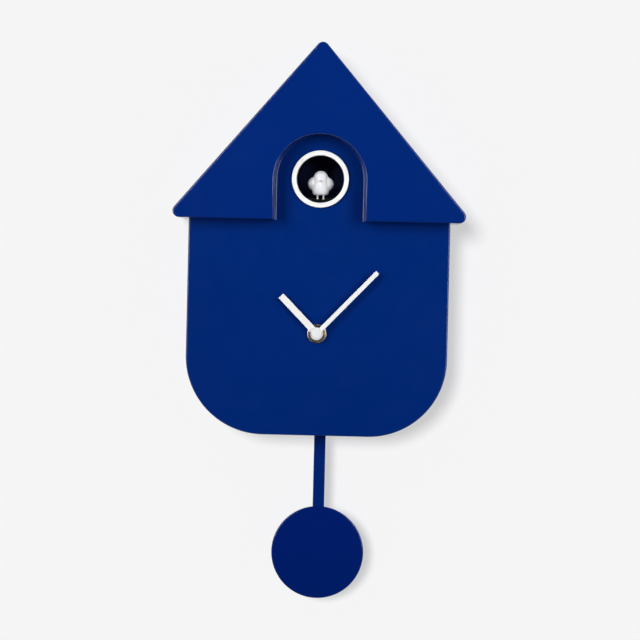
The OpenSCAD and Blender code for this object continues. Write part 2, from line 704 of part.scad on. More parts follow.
module movement_back() color("#d4cfc4") difference() {
    union() {
        difference() {
            slab(move_back_y, move_back_y - move_split_y) move_outline(0);
            slab(move_back_in, move_back_in - move_split_y + eps) move_outline(move_wall);
        }
        round_bar([pendulum_x, pivot_z], move_back_y + hanger_boss_h, 3.6, hanger_boss_h + eps);
    }
    round_bar([pendulum_x, pivot_z], move_back_y + hanger_boss_h + eps, pin_r + 0.02,
        hanger_boss_h + 1.1 + eps);
    for (p = concat(arbors, [[0, hub_z]])) round_bar(p, move_back_in + 1, pivot_r + snug, 1 + eps);
    round_bar(setting_at, move_back_y + eps, arbor_r + 0.2, move_wall + 2 * eps);
}

module rubber_washer() color("#222326") difference() {
    round_bar([0, hub_z], inner_y + washer_t, 10, washer_t);
    round_bar([0, hub_z], inner_y + washer_t + eps, bushing_r + 0.1, washer_t + 2 * eps);
}

module threaded_bushing() color("#b08d4a") difference() {
    union() {
        round_bar([0, hub_z], move_y + flange_t, flange_r, flange_t);
        round_bar([0, hub_z], move_y, bushing_r, move_y - bushing_front);
        round_bar([0, hub_z], move_front_in, bushing_r - 0.5, move_wall);
    }
    round_bar([0, hub_z], move_front_in + eps, pipe_r + snug, move_front_in - bushing_front + 2 * eps);
}

module fixing_nut() color("#b9a98c") turned([0, hub_z], face_y)
    polygon([[bushing_r + snug, 0], [nut_r, 0], [nut_r, nut_t - 0.5], [nut_r - 0.5, nut_t],
             [bushing_r + 0.6, nut_t], [bushing_r + snug, nut_t - 0.5]]);

// A straight hand with a square end and a round middle, bored for its shaft
module hand(dir, len, w, bore) rotate(-dir) difference() {
    union() {
        translate([-w / 2, 0]) square([w, len]);
        circle(hand_hub_r);
    }
    circle(bore);
}

module hour_hand() color("#f4f4f1") slab(hour_y, hand_t) translate([0, hub_z])
    hand(hour_dir, hour_len, hour_w, pipe_r + 0.02);

module minute_hand() color("#f4f4f1") {
    slab(minute_y, hand_t) translate([0, hub_z]) hand(minute_dir, minute_len, minute_w, arbor_r + 0.02);
    slab(pipe_front - fit, pipe_front - fit - minute_y) translate([0, hub_z]) difference() {
        circle(pipe_r - 0.2);
        circle(arbor_r + 0.02);
    }
}

module hand_cap() color("#f4f4f1") turned([0, hub_z], minute_y - hand_t) difference() {
    polygon([[0, 0], [3.85, 0], [3.85, 1], [3.4, 1.5], [0, 1.7]]);
    square([arbor_r + snug, 0.8]);
}

module hour_wheel() color("#e6e2d6") difference() {
    union() {
        slab(layer(0) + wheel_t, wheel_t) translate([0, hub_z])
            gear(hour_teeth, motion_module, motion_a);
        round_bar([0, hub_z], layer(0), pipe_r, layer(0) - pipe_front);
    }
    round_bar([0, hub_z], layer(0) + wheel_t + eps, arbor_r + snug,
        layer(0) + wheel_t - pipe_front + 2 * eps);
}

module minute_arbor() color("#c8c9cb") {
    step = layer(2) + wheel_t + 0.2;
    round_bar([0, hub_z], step, arbor_r, step - minute_tip_y);
    round_bar([0, hub_z], end_back, pivot_r, end_back - step);
    slab(layer(1) + wheel_t, wheel_t) translate([0, hub_z]) gear(cannon_teeth, motion_module, motion_a);
}

// A wheel with round windows between its spokes
module train_wheel(at, k, z, m, turn, bore) slab(layer(k) + wheel_t, wheel_t) translate(at) difference() {
    gear(z, m, turn);
    circle(bore);
    r = z * m / 2;
    for (a = [0:60:300]) rotate(a) translate([0.56 * r, 0]) circle(0.2 * r);
}

module centre_wheel() color("#d9b65c")
    train_wheel([0, hub_z], 2, centre_teeth, train_module, third_a, arbor_r + snug);

// A wheel, its leaf pinion and its arbor in one
module train_arbor(at, k_wheel, z, m, turn, k_leaf, leaf_m, leaf_turn) {
    difference() {
        train_wheel(at, k_wheel, z, m, turn, 0.1);
        round_bar(at, layer(k_wheel) + wheel_t + eps, pivot_r, wheel_t + 2 * eps);
    }
    slab(layer(k_leaf) + wheel_t, wheel_t) translate(at) gear(leaf_teeth, leaf_m, leaf_turn);
    round_bar(at, end_back, pivot_r, end_back - end_front);
}

module motion_wheel() color("#e6e2d6") {
    slab(layer(1) + wheel_t, wheel_t) translate(motion_at) difference() {
        gear(motion_teeth, motion_module, mesh_turn(motion_a, cannon_teeth, motion_a, motion_teeth));
        for (a = [0:60:300]) rotate(a) translate([4.3, 0]) circle(1.5);
    }
    slab(layer(1), layer(1) - layer(0)) translate(motion_at)
        gear(motion_pinion_teeth, motion_module,
            mesh_turn(motion_a, hour_teeth, motion_a, motion_pinion_teeth));
    round_bar(motion_at, end_back, pivot_r, end_back - end_front);
}

module third_wheel() color("#d9b65c")
    train_arbor(third_at, 3, third_teeth, train_module, seconds_a, 2, train_module,
        mesh_turn(third_a, centre_teeth, third_a, leaf_teeth));

module seconds_wheel() color("#e6e2d6")
    train_arbor(seconds_at, 4, seconds_teeth, train_module, inter_a, 3, train_module,
        mesh_turn(seconds_a, third_teeth, seconds_a, leaf_teeth));

module intermediate_wheel() color("#e6e2d6")
    train_arbor(inter_at, 5, inter_teeth, rotor_module, rotor_a, 4, train_module, inter_a);

module rotor() color("#5d5f63") {
    round_bar(rotor_at, stator_y + 0.3, magnet_r, stator_t + 0.6);
    slab(layer(5) + wheel_t, wheel_t) translate(rotor_at)
        gear(leaf_teeth, rotor_module, mesh_turn(rotor_a, inter_teeth, rotor_a, leaf_teeth));
    round_bar(rotor_at, end_back, pivot_r, end_back - end_front);
}

module stator() color("#8f9296") slab(stator_y, stator_t) translate([0, hub_z]) difference() {
    at = rotor_at - [0, hub_z];
    union() {
        translate([-7, -15.8]) square([at[0] + 6.5, 3.5]);
        translate([-7, -23]) square([2.6, 10.7]);
        translate([-7, -22.6]) square([30, 3.2]);
        translate([20.4, -23]) square([2.6, 17]);
        translate([at[0] + 1, at[1] - 4]) square([23 - at[0] - 1, 3.6]);
        translate([at[0] - 3.8, -15.8]) square([3.3, 12]);
        translate(at) circle(4.4);
    }
    translate(at) circle(magnet_r + 0.5);
    translate(at + [-0.3, -6]) square([0.6, 6]);
    translate(at + [-0.3, 0]) square([0.6, 6]);
}

module drive_coil() color("#b5612c") difference() {
    translate([0, stator_y - stator_t / 2, coil_z]) rotate([0, 90, 0]) union() {
        translate([0, 0, -3.8]) cylinder(r = coil_r, h = 23.4);
        for (x = [-3.8, 18.6]) translate([0, 0, x]) cylinder(r = coil_r + 0.8, h = 1);
    }
    box([-8, stator_y - stator_t - 0.1, coil_z - 1.7], [24, stator_y + 0.1, coil_z + 1.7]);
}

module circuit_board() color("#1f5b37") {
    slab(layer(3) + wheel_t, wheel_t) translate([-26, hub_z + 3]) square([14, 21]);
    round_bar([-17, hub_z + 10], layer(3) + wheel_t + 0.8, 2.6, 1);
    box([-18.5, layer(3) + wheel_t - 0.1, hub_z + 15], [-16.5, layer(3) + wheel_t + 1.6, hub_z + 22]);
}

module setting_knob() color("#2a2b2e") {
    slab(layer(1) + wheel_t, wheel_t) translate(setting_at)
        gear(setting_teeth, motion_module, mesh_turn(motion_a, motion_teeth,
            mesh_turn(motion_a, cannon_teeth, motion_a, motion_teeth), setting_teeth));
    round_bar(setting_at, layer(1), pivot_r, layer(1) - end_front);
    round_bar(setting_at, knob_front_y, arbor_r, knob_front_y - layer(1) - wheel_t);
    slab(knob_front_y + knob_t, knob_t) translate(setting_at) difference() {
        circle(knob_r);
        for (a = [0:30:330]) rotate(a) translate([knob_r + 0.7, 0]) circle(1.3);
    }
}

// ---- Pendulum ----

module hanger_pin() color("#9b9da0") {
    round_bar([pendulum_x, pivot_z], hanger_y + 0.4, pin_r, hanger_y + 0.4 - move_back_in - 0.6);
    round_bar([pendulum_x, pivot_z], hanger_y + 1.4, 2 * pin_r, 1);
}

module pendulum_hanger() color("#c9c5ba") difference() {
    union() {
        slab(hanger_y, hanger_t) soft_rect([pendulum_x, pivot_z - 14.5], 9, 39, 4);
        round_bar([pendulum_x, pivot_z - 12], hanger_y + rod_t + 0.8, peg_r, rod_t + 0.8 + eps);
    }
    round_bar([pendulum_x, pivot_z], hanger_y + eps, pin_r + snug, hanger_t + 2 * eps);
    round_bar([pendulum_x, pivot_z - drive_drop], hanger_y - hanger_t + 2.1, 3.6, 2.1 + eps);
}

module pendulum_magnet() color("#6a6c70")
    round_bar([pendulum_x, pivot_z - drive_drop], hanger_y - hanger_t + 2.1, 3.5, 2.1);

module pendulum_coil() color("#b5612c") difference() {
    round_bar([pendulum_x, pivot_z - drive_drop], move_back_y + 2.4, 5.5, 2.4);
    round_bar([pendulum_x, pivot_z - drive_drop], move_back_y + 2.4 + eps, 1.5, 2.4 + 2 * eps);
}

module pendulum_rod() color("#012c76") slab(rod_y, rod_t) difference() {
    low = disc_z - disc_r / 3;
    translate([pendulum_x - rod_w / 2, low]) square([rod_w, pivot_z - 7 - low]);
    translate([pendulum_x, pivot_z - 12]) circle(peg_r + snug);
}

module pendulum_disc() color("#012a70") difference() {
    edge = 1;
    turned([pendulum_x, disc_z], rod_y) polygon([[0, 0], [disc_r - 0.4, 0], [disc_r, 0.4],
        for (a = [0:15:90]) [disc_r - edge + edge * cos(a), disc_t - edge + edge * sin(a)], [0, disc_t]]);
    box([pendulum_x - rod_w / 2 - snug, rod_y - rod_t, disc_z - disc_r / 3 - snug],
        [pendulum_x + rod_w / 2 + snug, rod_y + eps, disc_z + disc_r + eps]);
}

// ---- Sound and power ----

function speaker_bosses() = [for (a = [30, 150, 270]) speaker_at + (speaker_r + 2.8) * [cos(a), sin(a)]];
function board_posts() = [for (sx = [-1, 1]) for (sz = [-1, 1])
    board_at + [sx * (board_w / 2 - 3.5), sz * (board_h / 2 - 3.5)]];

module speaker_frame() color("#7d8084") difference() {
    turned(speaker_at, -cover_t)
        polygon([[speaker_r - 3, 0], [speaker_r, 0], [speaker_r, speaker_flange_t],
                 [speaker_r - 3 + basket_skin, speaker_flange_t], [basket_r, speaker_depth],
                 [0, speaker_depth], [0, speaker_depth - speaker_sheet],
                 [basket_r - basket_skin, speaker_depth - speaker_sheet]]);
    for (a = [45:90:315]) translate([speaker_at[0], -cover_t - 0.6 * speaker_depth, speaker_at[1]])
        rotate([0, a, 0]) translate([window_r, 0, 0]) cube([window_w, window_h, window_w], center = true);
}

module speaker_cone() color("#26262a") turned(speaker_at, -cover_t)
    polygon([[speaker_r - 4.4, cone_skin], [speaker_r - 4.4, 2 * cone_skin],
             [coil_mouth_r + 1, dust_cap_h + 2], [coil_mouth_r, dust_cap_h + 1.6],
             [0, dust_cap_h], [0, dust_cap_h - cone_skin], [coil_mouth_r, dust_cap_h + 1],
             [coil_mouth_r + 1, dust_cap_h + 1.3], [speaker_r - 5.4, cone_skin]]);

module speaker_magnet() color("#3a3b3e")
    round_bar(speaker_at, -cover_t - speaker_depth, speaker_magnet_r, speaker_magnet_t);

module speaker_screws() color("#8b8d90") for (p = speaker_bosses())
    translate([p[0], -cover_t - speaker_flange_t, p[1]]) rotate([0, 0, 180])
        screw([0, 0], 0, 2.6, small_screw_r, small_head_r + 1.4, small_head_t);

module sound_board() color("#1f5b37") {
    slab(board_y, board_t) difference() {
        soft_rect(board_at, board_w, board_h, 1);
        for (p = board_posts()) translate(p) circle(small_screw_r + 0.2);
    }
    box([board_at[0] - 6, board_y - board_t - 1.8, board_at[1] - 4],
        [board_at[0] + 4, board_y - board_t + 0.1, board_at[1] + 8]);
    round_bar(board_at + [12, 6], board_y - board_t + 0.1, 3.2, 8);
}

module board_screws() color("#8b8d90") for (p = board_posts())
    translate([p[0], board_y - board_t, p[1]]) rotate([0, 0, 180])
        screw([0, 0], 0, 6, small_screw_r, small_head_r, small_head_t);

module switch_body() color("#5a5c60")
    box([switch_at[0] - 6, board_y, switch_at[1] - 3], [switch_at[0] + 6, board_y + 5.6, switch_at[1] + 3]);

module sound_switch() color("#17181b") {
    top = board_y + 5.6 + 0.1;
    box([switch_at[0] - 2, top, switch_at[1] - 1.6], [switch_at[0] + 2, -0.4, switch_at[1] + 1.6]);
    box([switch_at[0] - 3.5, top, switch_at[1] - 2.4], [switch_at[0] + 3.5, top + 1.2, switch_at[1] + 2.4]);
}

function cell_x(i) = bay_x + (i - (cells - 1) / 2) * (2 * cell_r + 0.5);
contact_t = 0.4;
spring_wire = 0.5;
spring_turns = 7;

// One cell standing on end; way is 1 for its knob up and -1 for its knob down
module cell(x, way) {
    knob_z = bay_z + way * (bay_len / 2 - contact_t);
    translate([x, cell_y, knob_z]) scale([1, 1, -way]) {
        cylinder(r = 2.6, h = nub_h + 0.1);
        translate([0, 0, nub_h]) cylinder(r = cell_r, h = cell_len);
    }
}

module batteries() color("#3b3f45") for (i = [0:cells - 1]) cell(cell_x(i), i % 2 == 0 ? 1 : -1);

module battery_contacts() color("#c4c6c8") for (i = [0:cells - 1]) {
    way = i % 2 == 0 ? 1 : -1;
    free = bay_len - 2 * contact_t - cell_len - nub_h;
    for (s = [-1, 1]) translate([cell_x(i), cell_y, bay_z + s * (bay_len / 2 - contact_t / 2)])
        cube([10, 12, contact_t], center = true);
    translate([cell_x(i), cell_y, bay_z - way * (bay_len / 2 - contact_t)]) scale([1, 1, way])
        rotate_extrude() for (k = [0:spring_turns - 1])
            translate([4.8 - 0.3 * k, spring_wire + k * (free - 2 * spring_wire) / (spring_turns - 1)])
                circle(spring_wire);
}

module battery_door() color("#022a6c") {
    axis_z = door_low_z + door_t / 2;
    difference() {
        union() {
            box([bay_x - door_w / 2, -door_t, axis_z], [bay_x + door_w / 2, 0, door_low_z + door_h]);
            translate([bay_x, door_axis_y, axis_z]) rotate([0, 90, 0])
                cylinder(r = door_t / 2, h = door_w, center = true);
        }
        slab(eps, 1 + eps) soft_rect([bay_x, door_low_z + door_h - 7], 16, 6, 2);
    }
    translate([bay_x, door_axis_y, axis_z]) rotate([0, 90, 0])
        cylinder(r = trunnion_r, h = door_w + 2 * fit + 1.6, center = true);
}

front_case();
roof_cover();
back_cover();
porthole_ring();
bird_tunnel();
case_screws();
roof_screws();
tunnel_screws();
bird_body();
bird_wings();
bird_beak();
bird_legs();
bird_carriage();
carriage_pinion();
bird_gearmotor();
motor_screws();
movement_front();
movement_back();
rubber_washer();
threaded_bushing();
fixing_nut();
hour_hand();
minute_hand();
hand_cap();
hour_wheel();
minute_arbor();
centre_wheel();
motion_wheel();
third_wheel();
seconds_wheel();
intermediate_wheel();
rotor();
stator();
drive_coil();
circuit_board();
setting_knob();
hanger_pin();
pendulum_hanger();
pendulum_magnet();
pendulum_coil();
pendulum_rod();
pendulum_disc();
speaker_frame();
speaker_cone();
speaker_magnet();
speaker_screws();
sound_board();
board_screws();
switch_body();
sound_switch();
batteries();
battery_contacts();
battery_door();
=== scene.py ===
# %% [markdown]
# # A house-shaped cuckoo clock, dressed for its portrait
# The clock is a shallow box of blue moulded plastic with a gable cover, a white ring that a small
# bird looks out of, two bar hands and a pendulum on a flat rod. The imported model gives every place
# and size in metres, and each visible piece is made again here with the soft edges, seams and
# surface that a moulding press, a lathe or a stamping press would leave.

# %% Load the frame
import json
from contextlib import contextmanager
from math import asin, atan2, cos, hypot, pi, radians, sin
import bmesh
import bpy
from mathutils import Matrix, Vector


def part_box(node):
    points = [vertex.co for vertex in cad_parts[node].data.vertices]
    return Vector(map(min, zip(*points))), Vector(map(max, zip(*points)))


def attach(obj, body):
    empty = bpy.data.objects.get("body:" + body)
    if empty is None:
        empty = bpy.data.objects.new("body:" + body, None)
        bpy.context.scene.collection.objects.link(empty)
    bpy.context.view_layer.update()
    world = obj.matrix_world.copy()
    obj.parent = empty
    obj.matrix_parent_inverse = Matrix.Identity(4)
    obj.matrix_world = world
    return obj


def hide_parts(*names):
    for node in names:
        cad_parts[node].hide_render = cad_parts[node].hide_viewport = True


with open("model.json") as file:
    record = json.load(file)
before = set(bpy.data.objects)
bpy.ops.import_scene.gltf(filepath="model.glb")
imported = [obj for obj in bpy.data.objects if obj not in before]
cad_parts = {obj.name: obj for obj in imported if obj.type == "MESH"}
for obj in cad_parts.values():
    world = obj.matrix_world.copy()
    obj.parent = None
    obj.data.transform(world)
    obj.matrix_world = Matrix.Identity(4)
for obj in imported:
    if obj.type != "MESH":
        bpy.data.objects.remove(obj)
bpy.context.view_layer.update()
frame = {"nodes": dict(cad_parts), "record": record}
nodes = frame["nodes"]
MM = 0.001


def mm(*sizes):
    """Sizes given in millimetres, in metres."""
    return [v * MM for v in sizes]


# %% [markdown]
# ## Where everything is
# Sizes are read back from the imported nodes, so that this file follows the model when a size of it
# changes. Depth runs along Y: the wall is at 0 and the dial looks towards -Y.

# %% Main measures
case_lo, case_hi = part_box("front_case")
roof_lo, roof_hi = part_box("roof_cover")
ring_lo, ring_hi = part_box("porthole_ring")
nut_lo, nut_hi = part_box("fixing_nut")
dial_y, gable_y, base_z = case_lo.y, roof_lo.y, roof_lo.z


def middle_at(lo, hi, y):
    """The middle of a box in X and Z, at a depth."""
    return Vector(((lo.x + hi.x) / 2, y, (lo.z + hi.z) / 2))


port, hub = middle_at(ring_lo, ring_hi, dial_y), middle_at(nut_lo, nut_hi, dial_y)
print(f"dial at {dial_y:.4f}, gable at {gable_y:.4f}, hub at {hub.x:.4f} {hub.z:.4f}")

# %% [markdown]
# ## Materials
# Moulded plastic is never one flat colour: it has a fine spark-eroded grain, slow changes of shade
# where it flowed and cooled, and edges that are rubbed a little smoother and lighter. A shader node
# group holds that once, and each plastic uses it with its own colour and grain. The group only gives
# colours and values out; the Principled shader stays in the material.

# %% A small kit for node trees
def group_tree(name, inputs, outputs, kind="ShaderNodeTree"):
    """A node group with named sockets; returns the tree, what it is given and what it gives out."""
    tree = bpy.data.node_groups.new(name, kind)
    for way, rows in (("INPUT", inputs), ("OUTPUT", outputs)):
        for socket, label, *value in rows:
            s = tree.interface.new_socket(name=label, in_out=way, socket_type="NodeSocket" + socket)
            if value:
                s.default_value = value[0]
    return tree, tree.nodes.new("NodeGroupInput").outputs, tree.nodes.new("NodeGroupOutput").inputs


def node(tree, kind, links=(), **values):
    """A node, a shader node if its kind is a short name, with links of (socket, source socket)."""
    n = tree.nodes.new(kind if "Node" in kind else "ShaderNode" + kind)
    for key, value in values.items():
        if hasattr(n, key):
            setattr(n, key, value)
        else:
            n.inputs[key.replace("_", " ")].default_value = value
    for socket, source in links:
        tree.links.new(source, n.inputs[socket])
    return n


def object_place(tree):
    """The place on the piece, in the piece's own coordinates."""
    return node(tree, "TexCoord").outputs["Object"]


def noise(tree, coordinates, scale, detail=2.0, rough=0.5):
    """A noise texture on the piece's own coordinates, in features per metre."""
    return node(tree, "TexNoise", [("Vector", coordinates)], Scale=scale, Detail=detail,
                Roughness=rough).outputs["Fac"]


def spread(tree, value, low, high, to_low=0.0, to_high=1.0):
    """Maps a range of a value onto another range, and clamps it."""
    return node(tree, "MapRange", [("Value", value)], From_Min=low, From_Max=high,
                To_Min=to_low, To_Max=to_high).outputs["Result"]


def maths(tree, how, a, b=None):
    """One sum of two values; each is a socket or a number."""
    n = node(tree, "Math", operation=how)
    for k, v in enumerate((a, b)):
        if isinstance(v, (int, float)):
            n.inputs[k].default_value = v
        elif v is not None:
            tree.links.new(v, n.inputs[k])
    return n.outputs[0]


def sums(tree):
    """Plus, minus and times for one tree."""
    return [lambda a, b, how=how: maths(tree, how, a, b) for how in ("ADD", "SUBTRACT", "MULTIPLY")]


def blend_colour(tree, share, a, b):
    """Two colours mixed by a share; each is a socket."""
    return node(tree, "Mix", [(0, share), (6, a), (7, b)], data_type="RGBA").outputs[2]


# %% Edge mask: where a surface bends sharply outwards
def make_edge_mask():
    tree, _, gives = group_tree("worn_edge", [], [("Float", "Mask")])
    soft = node(tree, "Bevel", samples=4, Radius=0.0006)
    flat = node(tree, "NewGeometry")
    dot = node(tree, "VectorMath", [(0, soft.outputs[0]), (1, flat.outputs["Normal"])],
               operation="DOT_PRODUCT")
    patch = spread(tree, noise(tree, object_place(tree), 180, 3), 0.35, 0.65, 0.4, 1.0)
    bent = spread(tree, dot.outputs["Value"], 0.995, 0.86)
    tree.links.new(maths(tree, "MULTIPLY", bent, patch), gives[0])
    return tree


edge_mask = make_edge_mask()
SURFACE = [("Color", "Colour"), ("Float", "Roughness"), ("Float", "Height")]
print("shared mask:", edge_mask.name)


# %% Moulded plastic
def make_moulded():
    tree, given, gives = group_tree("moulded_plastic", [
        ("Color", "Colour", (0.5, 0.5, 0.5, 1)), ("Float", "Shade", 0.06), ("Float", "Grain", 2600.0),
        ("Float", "Roughness", 0.45), ("Float", "Edge", 0.3)], SURFACE)
    plus, minus, times = sums(tree)
    here = object_place(tree)
    slow = noise(tree, here, 14, 3)
    handled = noise(tree, here, 60, 4, 0.6)
    fine = node(tree, "TexVoronoi", [("Vector", here), ("Scale", given["Grain"])],
                feature="SMOOTH_F1")
    shade = times(minus(slow, 0.5), given["Shade"])
    value = plus(1.0, times(shade, 2.0))
    lit = node(tree, "HueSaturation", [("Color", given["Colour"]), ("Value", value)])
    worn = times(node(tree, "Group", node_tree=edge_mask).outputs[0], given["Edge"])
    pale = node(tree, "HueSaturation", [("Color", given["Colour"])], Value=1.5, Saturation=0.93)
    touch = times(minus(handled, 0.5), 0.14)
    tree.links.new(blend_colour(tree, worn, lit.outputs[0], pale.outputs[0]), gives["Colour"])
    tree.links.new(minus(plus(given["Roughness"], touch), times(worn, 0.12)), gives["Roughness"])
    tree.links.new(plus(fine.outputs["Distance"], times(slow, 0.4)), gives["Height"])
    return tree


def dressed(name, group, colour, **values):
    """A Principled material fed by a group; values are inputs of the group or of the shader."""
    mat = bpy.data.materials.new(name)
    mat.use_nodes = True
    tree = mat.node_tree
    sockets = tree.nodes["Principled BSDF"].inputs
    look = node(tree, "Group", node_tree=group, Colour=(*colour, 1))
    bump = node(tree, "Bump", [("Height", look.outputs["Height"])], Strength=1.0,
                Distance=values.pop("relief") * MM)
    for source, socket in ((look.outputs["Colour"], "Base Color"), (bump.outputs[0], "Normal"),
                           (look.outputs["Roughness"], "Roughness")):
        tree.links.new(source, sockets[socket])
    for key, value in values.items():
        key = key.replace("_", " ")
        (look.inputs if key in look.inputs else sockets)[key].default_value = value
    return mat


moulded = make_moulded()
print("group:", moulded.name)


# %% Metal: turned, drawn or plated
def make_metal():
    tree, given, gives = group_tree("worked_metal", [
        ("Color", "Colour", (0.6, 0.6, 0.6, 1)), ("Color", "Tarnish", (0.25, 0.23, 0.2, 1)),
        ("Float", "Roughness", 0.3), ("Vector", "Stretch", (1.0, 1.0, 1.0)), ("Float", "Marks", 900.0),
        ("Float", "Age", 0.3)], SURFACE)
    plus, minus, times = sums(tree)
    here = object_place(tree)
    pulled = node(tree, "VectorMath", [(0, here), (1, given["Stretch"])],
                  operation="MULTIPLY").outputs[0]
    lines = node(tree, "TexNoise", [("Vector", pulled), ("Scale", given["Marks"])],
                 Detail=3.0).outputs["Fac"]
    dull = times(spread(tree, noise(tree, here, 240, 4, 0.6), 0.42, 0.72), given["Age"])
    rubbed = times(node(tree, "Group", node_tree=edge_mask).outputs[0], 0.6)
    base = blend_colour(tree, dull, given["Colour"], given["Tarnish"])
    bright = node(tree, "HueSaturation", [("Color", given["Colour"])], Value=1.25)
    rough = plus(given["Roughness"], times(dull, 0.3))
    tree.links.new(blend_colour(tree, rubbed, base, bright.outputs[0]), gives["Colour"])
    tree.links.new(plus(rough, times(minus(lines, 0.5), 0.2)), gives["Roughness"])
    tree.links.new(lines, gives["Height"])
    return tree


worked = make_metal()
print("group:", worked.name)


# %% The finishes
SATIN = dict(Roughness=0.14, Edge=0.12, relief=0.003, Specular_IOR_Level=0.28, Coat_Weight=0.3,
             Coat_Roughness=0.12)
GRAINED = dict(Grain=1500.0, Roughness=0.5, relief=0.03, Specular_IOR_Level=0.3)
SMOOTH_WHITE = dict(Shade=0.02, Edge=0.0, relief=0.004)
FIGURE = dict(Grain=1800, Roughness=0.55, relief=0.02)
PLASTICS = {
    "case_blue": ((0.0, 0.0195, 0.161), SATIN),
    "roof_blue": ((0.0, 0.0185, 0.163), SATIN),
    "back_blue": ((0.0, 0.02, 0.16), GRAINED),
    "door_blue": ((0.0, 0.02, 0.16), GRAINED),
    # rod_blue and disc_blue are the case blue made darker, the disc most: painted shade for the weaker
    # light low down
    "rod_blue": ((0.0, 0.0175, 0.16), SATIN),
    "disc_blue": ((0.0, 0.0135, 0.152), SATIN),
    "white_plastic": ((0.9, 0.9, 0.89), dict(SMOOTH_WHITE, Roughness=0.22, Coat_Weight=0.4,
                                             Coat_Roughness=0.08)),
    "black_plastic": ((0.004, 0.004, 0.005), dict(Roughness=0.75, Specular_IOR_Level=0.15)),
    "slide_black": ((0.003, 0.003, 0.004), dict(Roughness=0.7, Specular_IOR_Level=0.08)),
    "bird_white": ((0.73, 0.73, 0.76), dict(FIGURE, Shade=0.05)),
    "bird_wing_white": ((0.74, 0.74, 0.77), dict(FIGURE, Shade=0.08)),
    "beak_grey": ((0.64, 0.63, 0.63), dict(Roughness=0.5)),
    "leg_grey": ((0.9, 0.9, 0.9), dict(Roughness=0.4)),
    "movement_plastic": ((0.6, 0.57, 0.49), dict(Grain=1800, Roughness=0.5, relief=0.02)),
    "gear_plastic": ((0.76, 0.73, 0.64), dict(Roughness=0.3, relief=0.004)),
    "washer_rubber": ((0.012, 0.012, 0.013), dict(Grain=1200, Roughness=0.8, relief=0.03)),
    "cap_white": ((0.76, 0.77, 0.78), dict(SMOOTH_WHITE, Roughness=0.35)),
    "hand_white": ((0.8, 0.8, 0.8), dict(SMOOTH_WHITE, Grain=3400, Roughness=0.45)),
    "board_green": ((0.012, 0.1, 0.04), dict(Grain=900, Roughness=0.35, relief=0.03, Coat_Weight=0.5)),
    "knob_black": ((0.012, 0.012, 0.014), dict(Grain=1600, Roughness=0.55, relief=0.02)),
    "cone_paper": ((0.018, 0.018, 0.02), dict(Grain=700, Roughness=0.9, relief=0.08)),
    "cell_wrap": ((0.06, 0.066, 0.08), dict(Roughness=0.3, relief=0.004, Coat_Weight=0.5)),
}
METALS = {
    "screw_steel": ((0.62, 0.62, 0.6), dict(Roughness=0.32)),
    "motor_steel": ((0.6, 0.6, 0.6), dict(Roughness=0.35, Stretch=(1, 1, 0.05))),
    "brass": ((0.72, 0.5, 0.2), dict(Tarnish=(0.35, 0.2, 0.08, 1), Roughness=0.3)),
    "nut_metal": ((0.56, 0.52, 0.48), dict(Tarnish=(0.28, 0.22, 0.16, 1), Roughness=0.22, Age=0.4)),
    "arbor_steel": ((0.62, 0.62, 0.62), dict(Roughness=0.2)),
    "magnet_grey": ((0.16, 0.16, 0.17), dict(Roughness=0.5, Metallic=0.8)),
    "stator_steel": ((0.45, 0.45, 0.46), dict(Roughness=0.4)),
    "copper_wire": ((0.7, 0.27, 0.1), dict(Roughness=0.3, Stretch=(1, 6, 1))),
    "switch_steel": ((0.5, 0.5, 0.5), dict(Roughness=0.35)),
    "contact_steel": ((0.68, 0.68, 0.68), dict(Roughness=0.18)),
}
finish = {name: dressed(name, group, colour, **{**usual, **more})
          for group, usual, table in ((moulded, dict(relief=0.012), PLASTICS),
                                      (worked, dict(relief=0.004, Metallic=1.0), METALS))
          for name, (colour, more) in table.items()}
slot_of = {row["node"]: row["material_slot"] for row in frame["record"]["subparts"]}
for name, slot in slot_of.items():
    nodes[name].data.materials.clear()
    nodes[name].data.materials.append(finish[slot])
print("finishes:", len(finish))

# %% [markdown]
# ## Shapes that are pressed from an outline
# The gable, the body, the hands and the pendulum are all one outline carried along the depth, with
# its front edge rounded. Such a piece could be a plain solid with a Bevel modifier, but a stack of
# outlines, each moved inwards a little more than the last, gives an even edge with no stray corners,
# and the same outline cuts the hollow behind it.

# %% Outlines
SMOOTH_TURN = radians(32)


def corner(points, i, d):
    """Corner i of a convex outline moved inwards by d, and the inward directions of its two sides."""
    p, a, b = points[i], points[i - 1], points[(i + 1) % len(points)]
    u, v = (p - a).normalized(), (b - p).normalized()
    n, m = Vector((-u.y, u.x)), Vector((-v.y, v.x))
    return p + (n + m) * (d / (1 + n.dot(m))), n, m


def rounded(points, radii, d=0.0, steps=16):
    """A convex outline in X and Z moved inwards by d, with an arc at each corner."""
    out = []
    for i, r in enumerate(radii):
        r = max(r - d, 0.3 * MM)
        c, n, m = corner(points, i, d + r)
        start, turn = atan2(-n.y, -n.x), n.angle(m)
        out += [c + r * Vector((cos(start + turn * k / steps), sin(start + turn * k / steps)))
                for k in range(steps + 1)]
    return out


def round_angles(count):
    """The angles of evenly spaced points on a circle."""
    return [2 * pi * k / count for k in range(count)]


def circle(x, z, r, count=96):
    """A round outline."""
    return [Vector((x + r * cos(a), z + r * sin(a))) for a in round_angles(count)]


def rectangle(left, low, right, high):
    """A square-cornered outline."""
    return [Vector((left, low)), Vector((right, low)), Vector((right, high)), Vector((left, high))]


def at_depth(outline, y):
    """An outline placed at a depth."""
    return [Vector((p.x, y, p.y)) for p in outline]


# %% Meshes and stacks
@contextmanager
def opened(mesh):
    """A mesh opened for editing and written back."""
    bm = bmesh.new()
    bm.from_mesh(mesh)
    yield bm
    bm.to_mesh(mesh)
    bm.free()


def add_object(name, data):
    """An object in the scene."""
    ob = bpy.data.objects.new(name, data)
    bpy.context.scene.collection.objects.link(ob)
    return ob


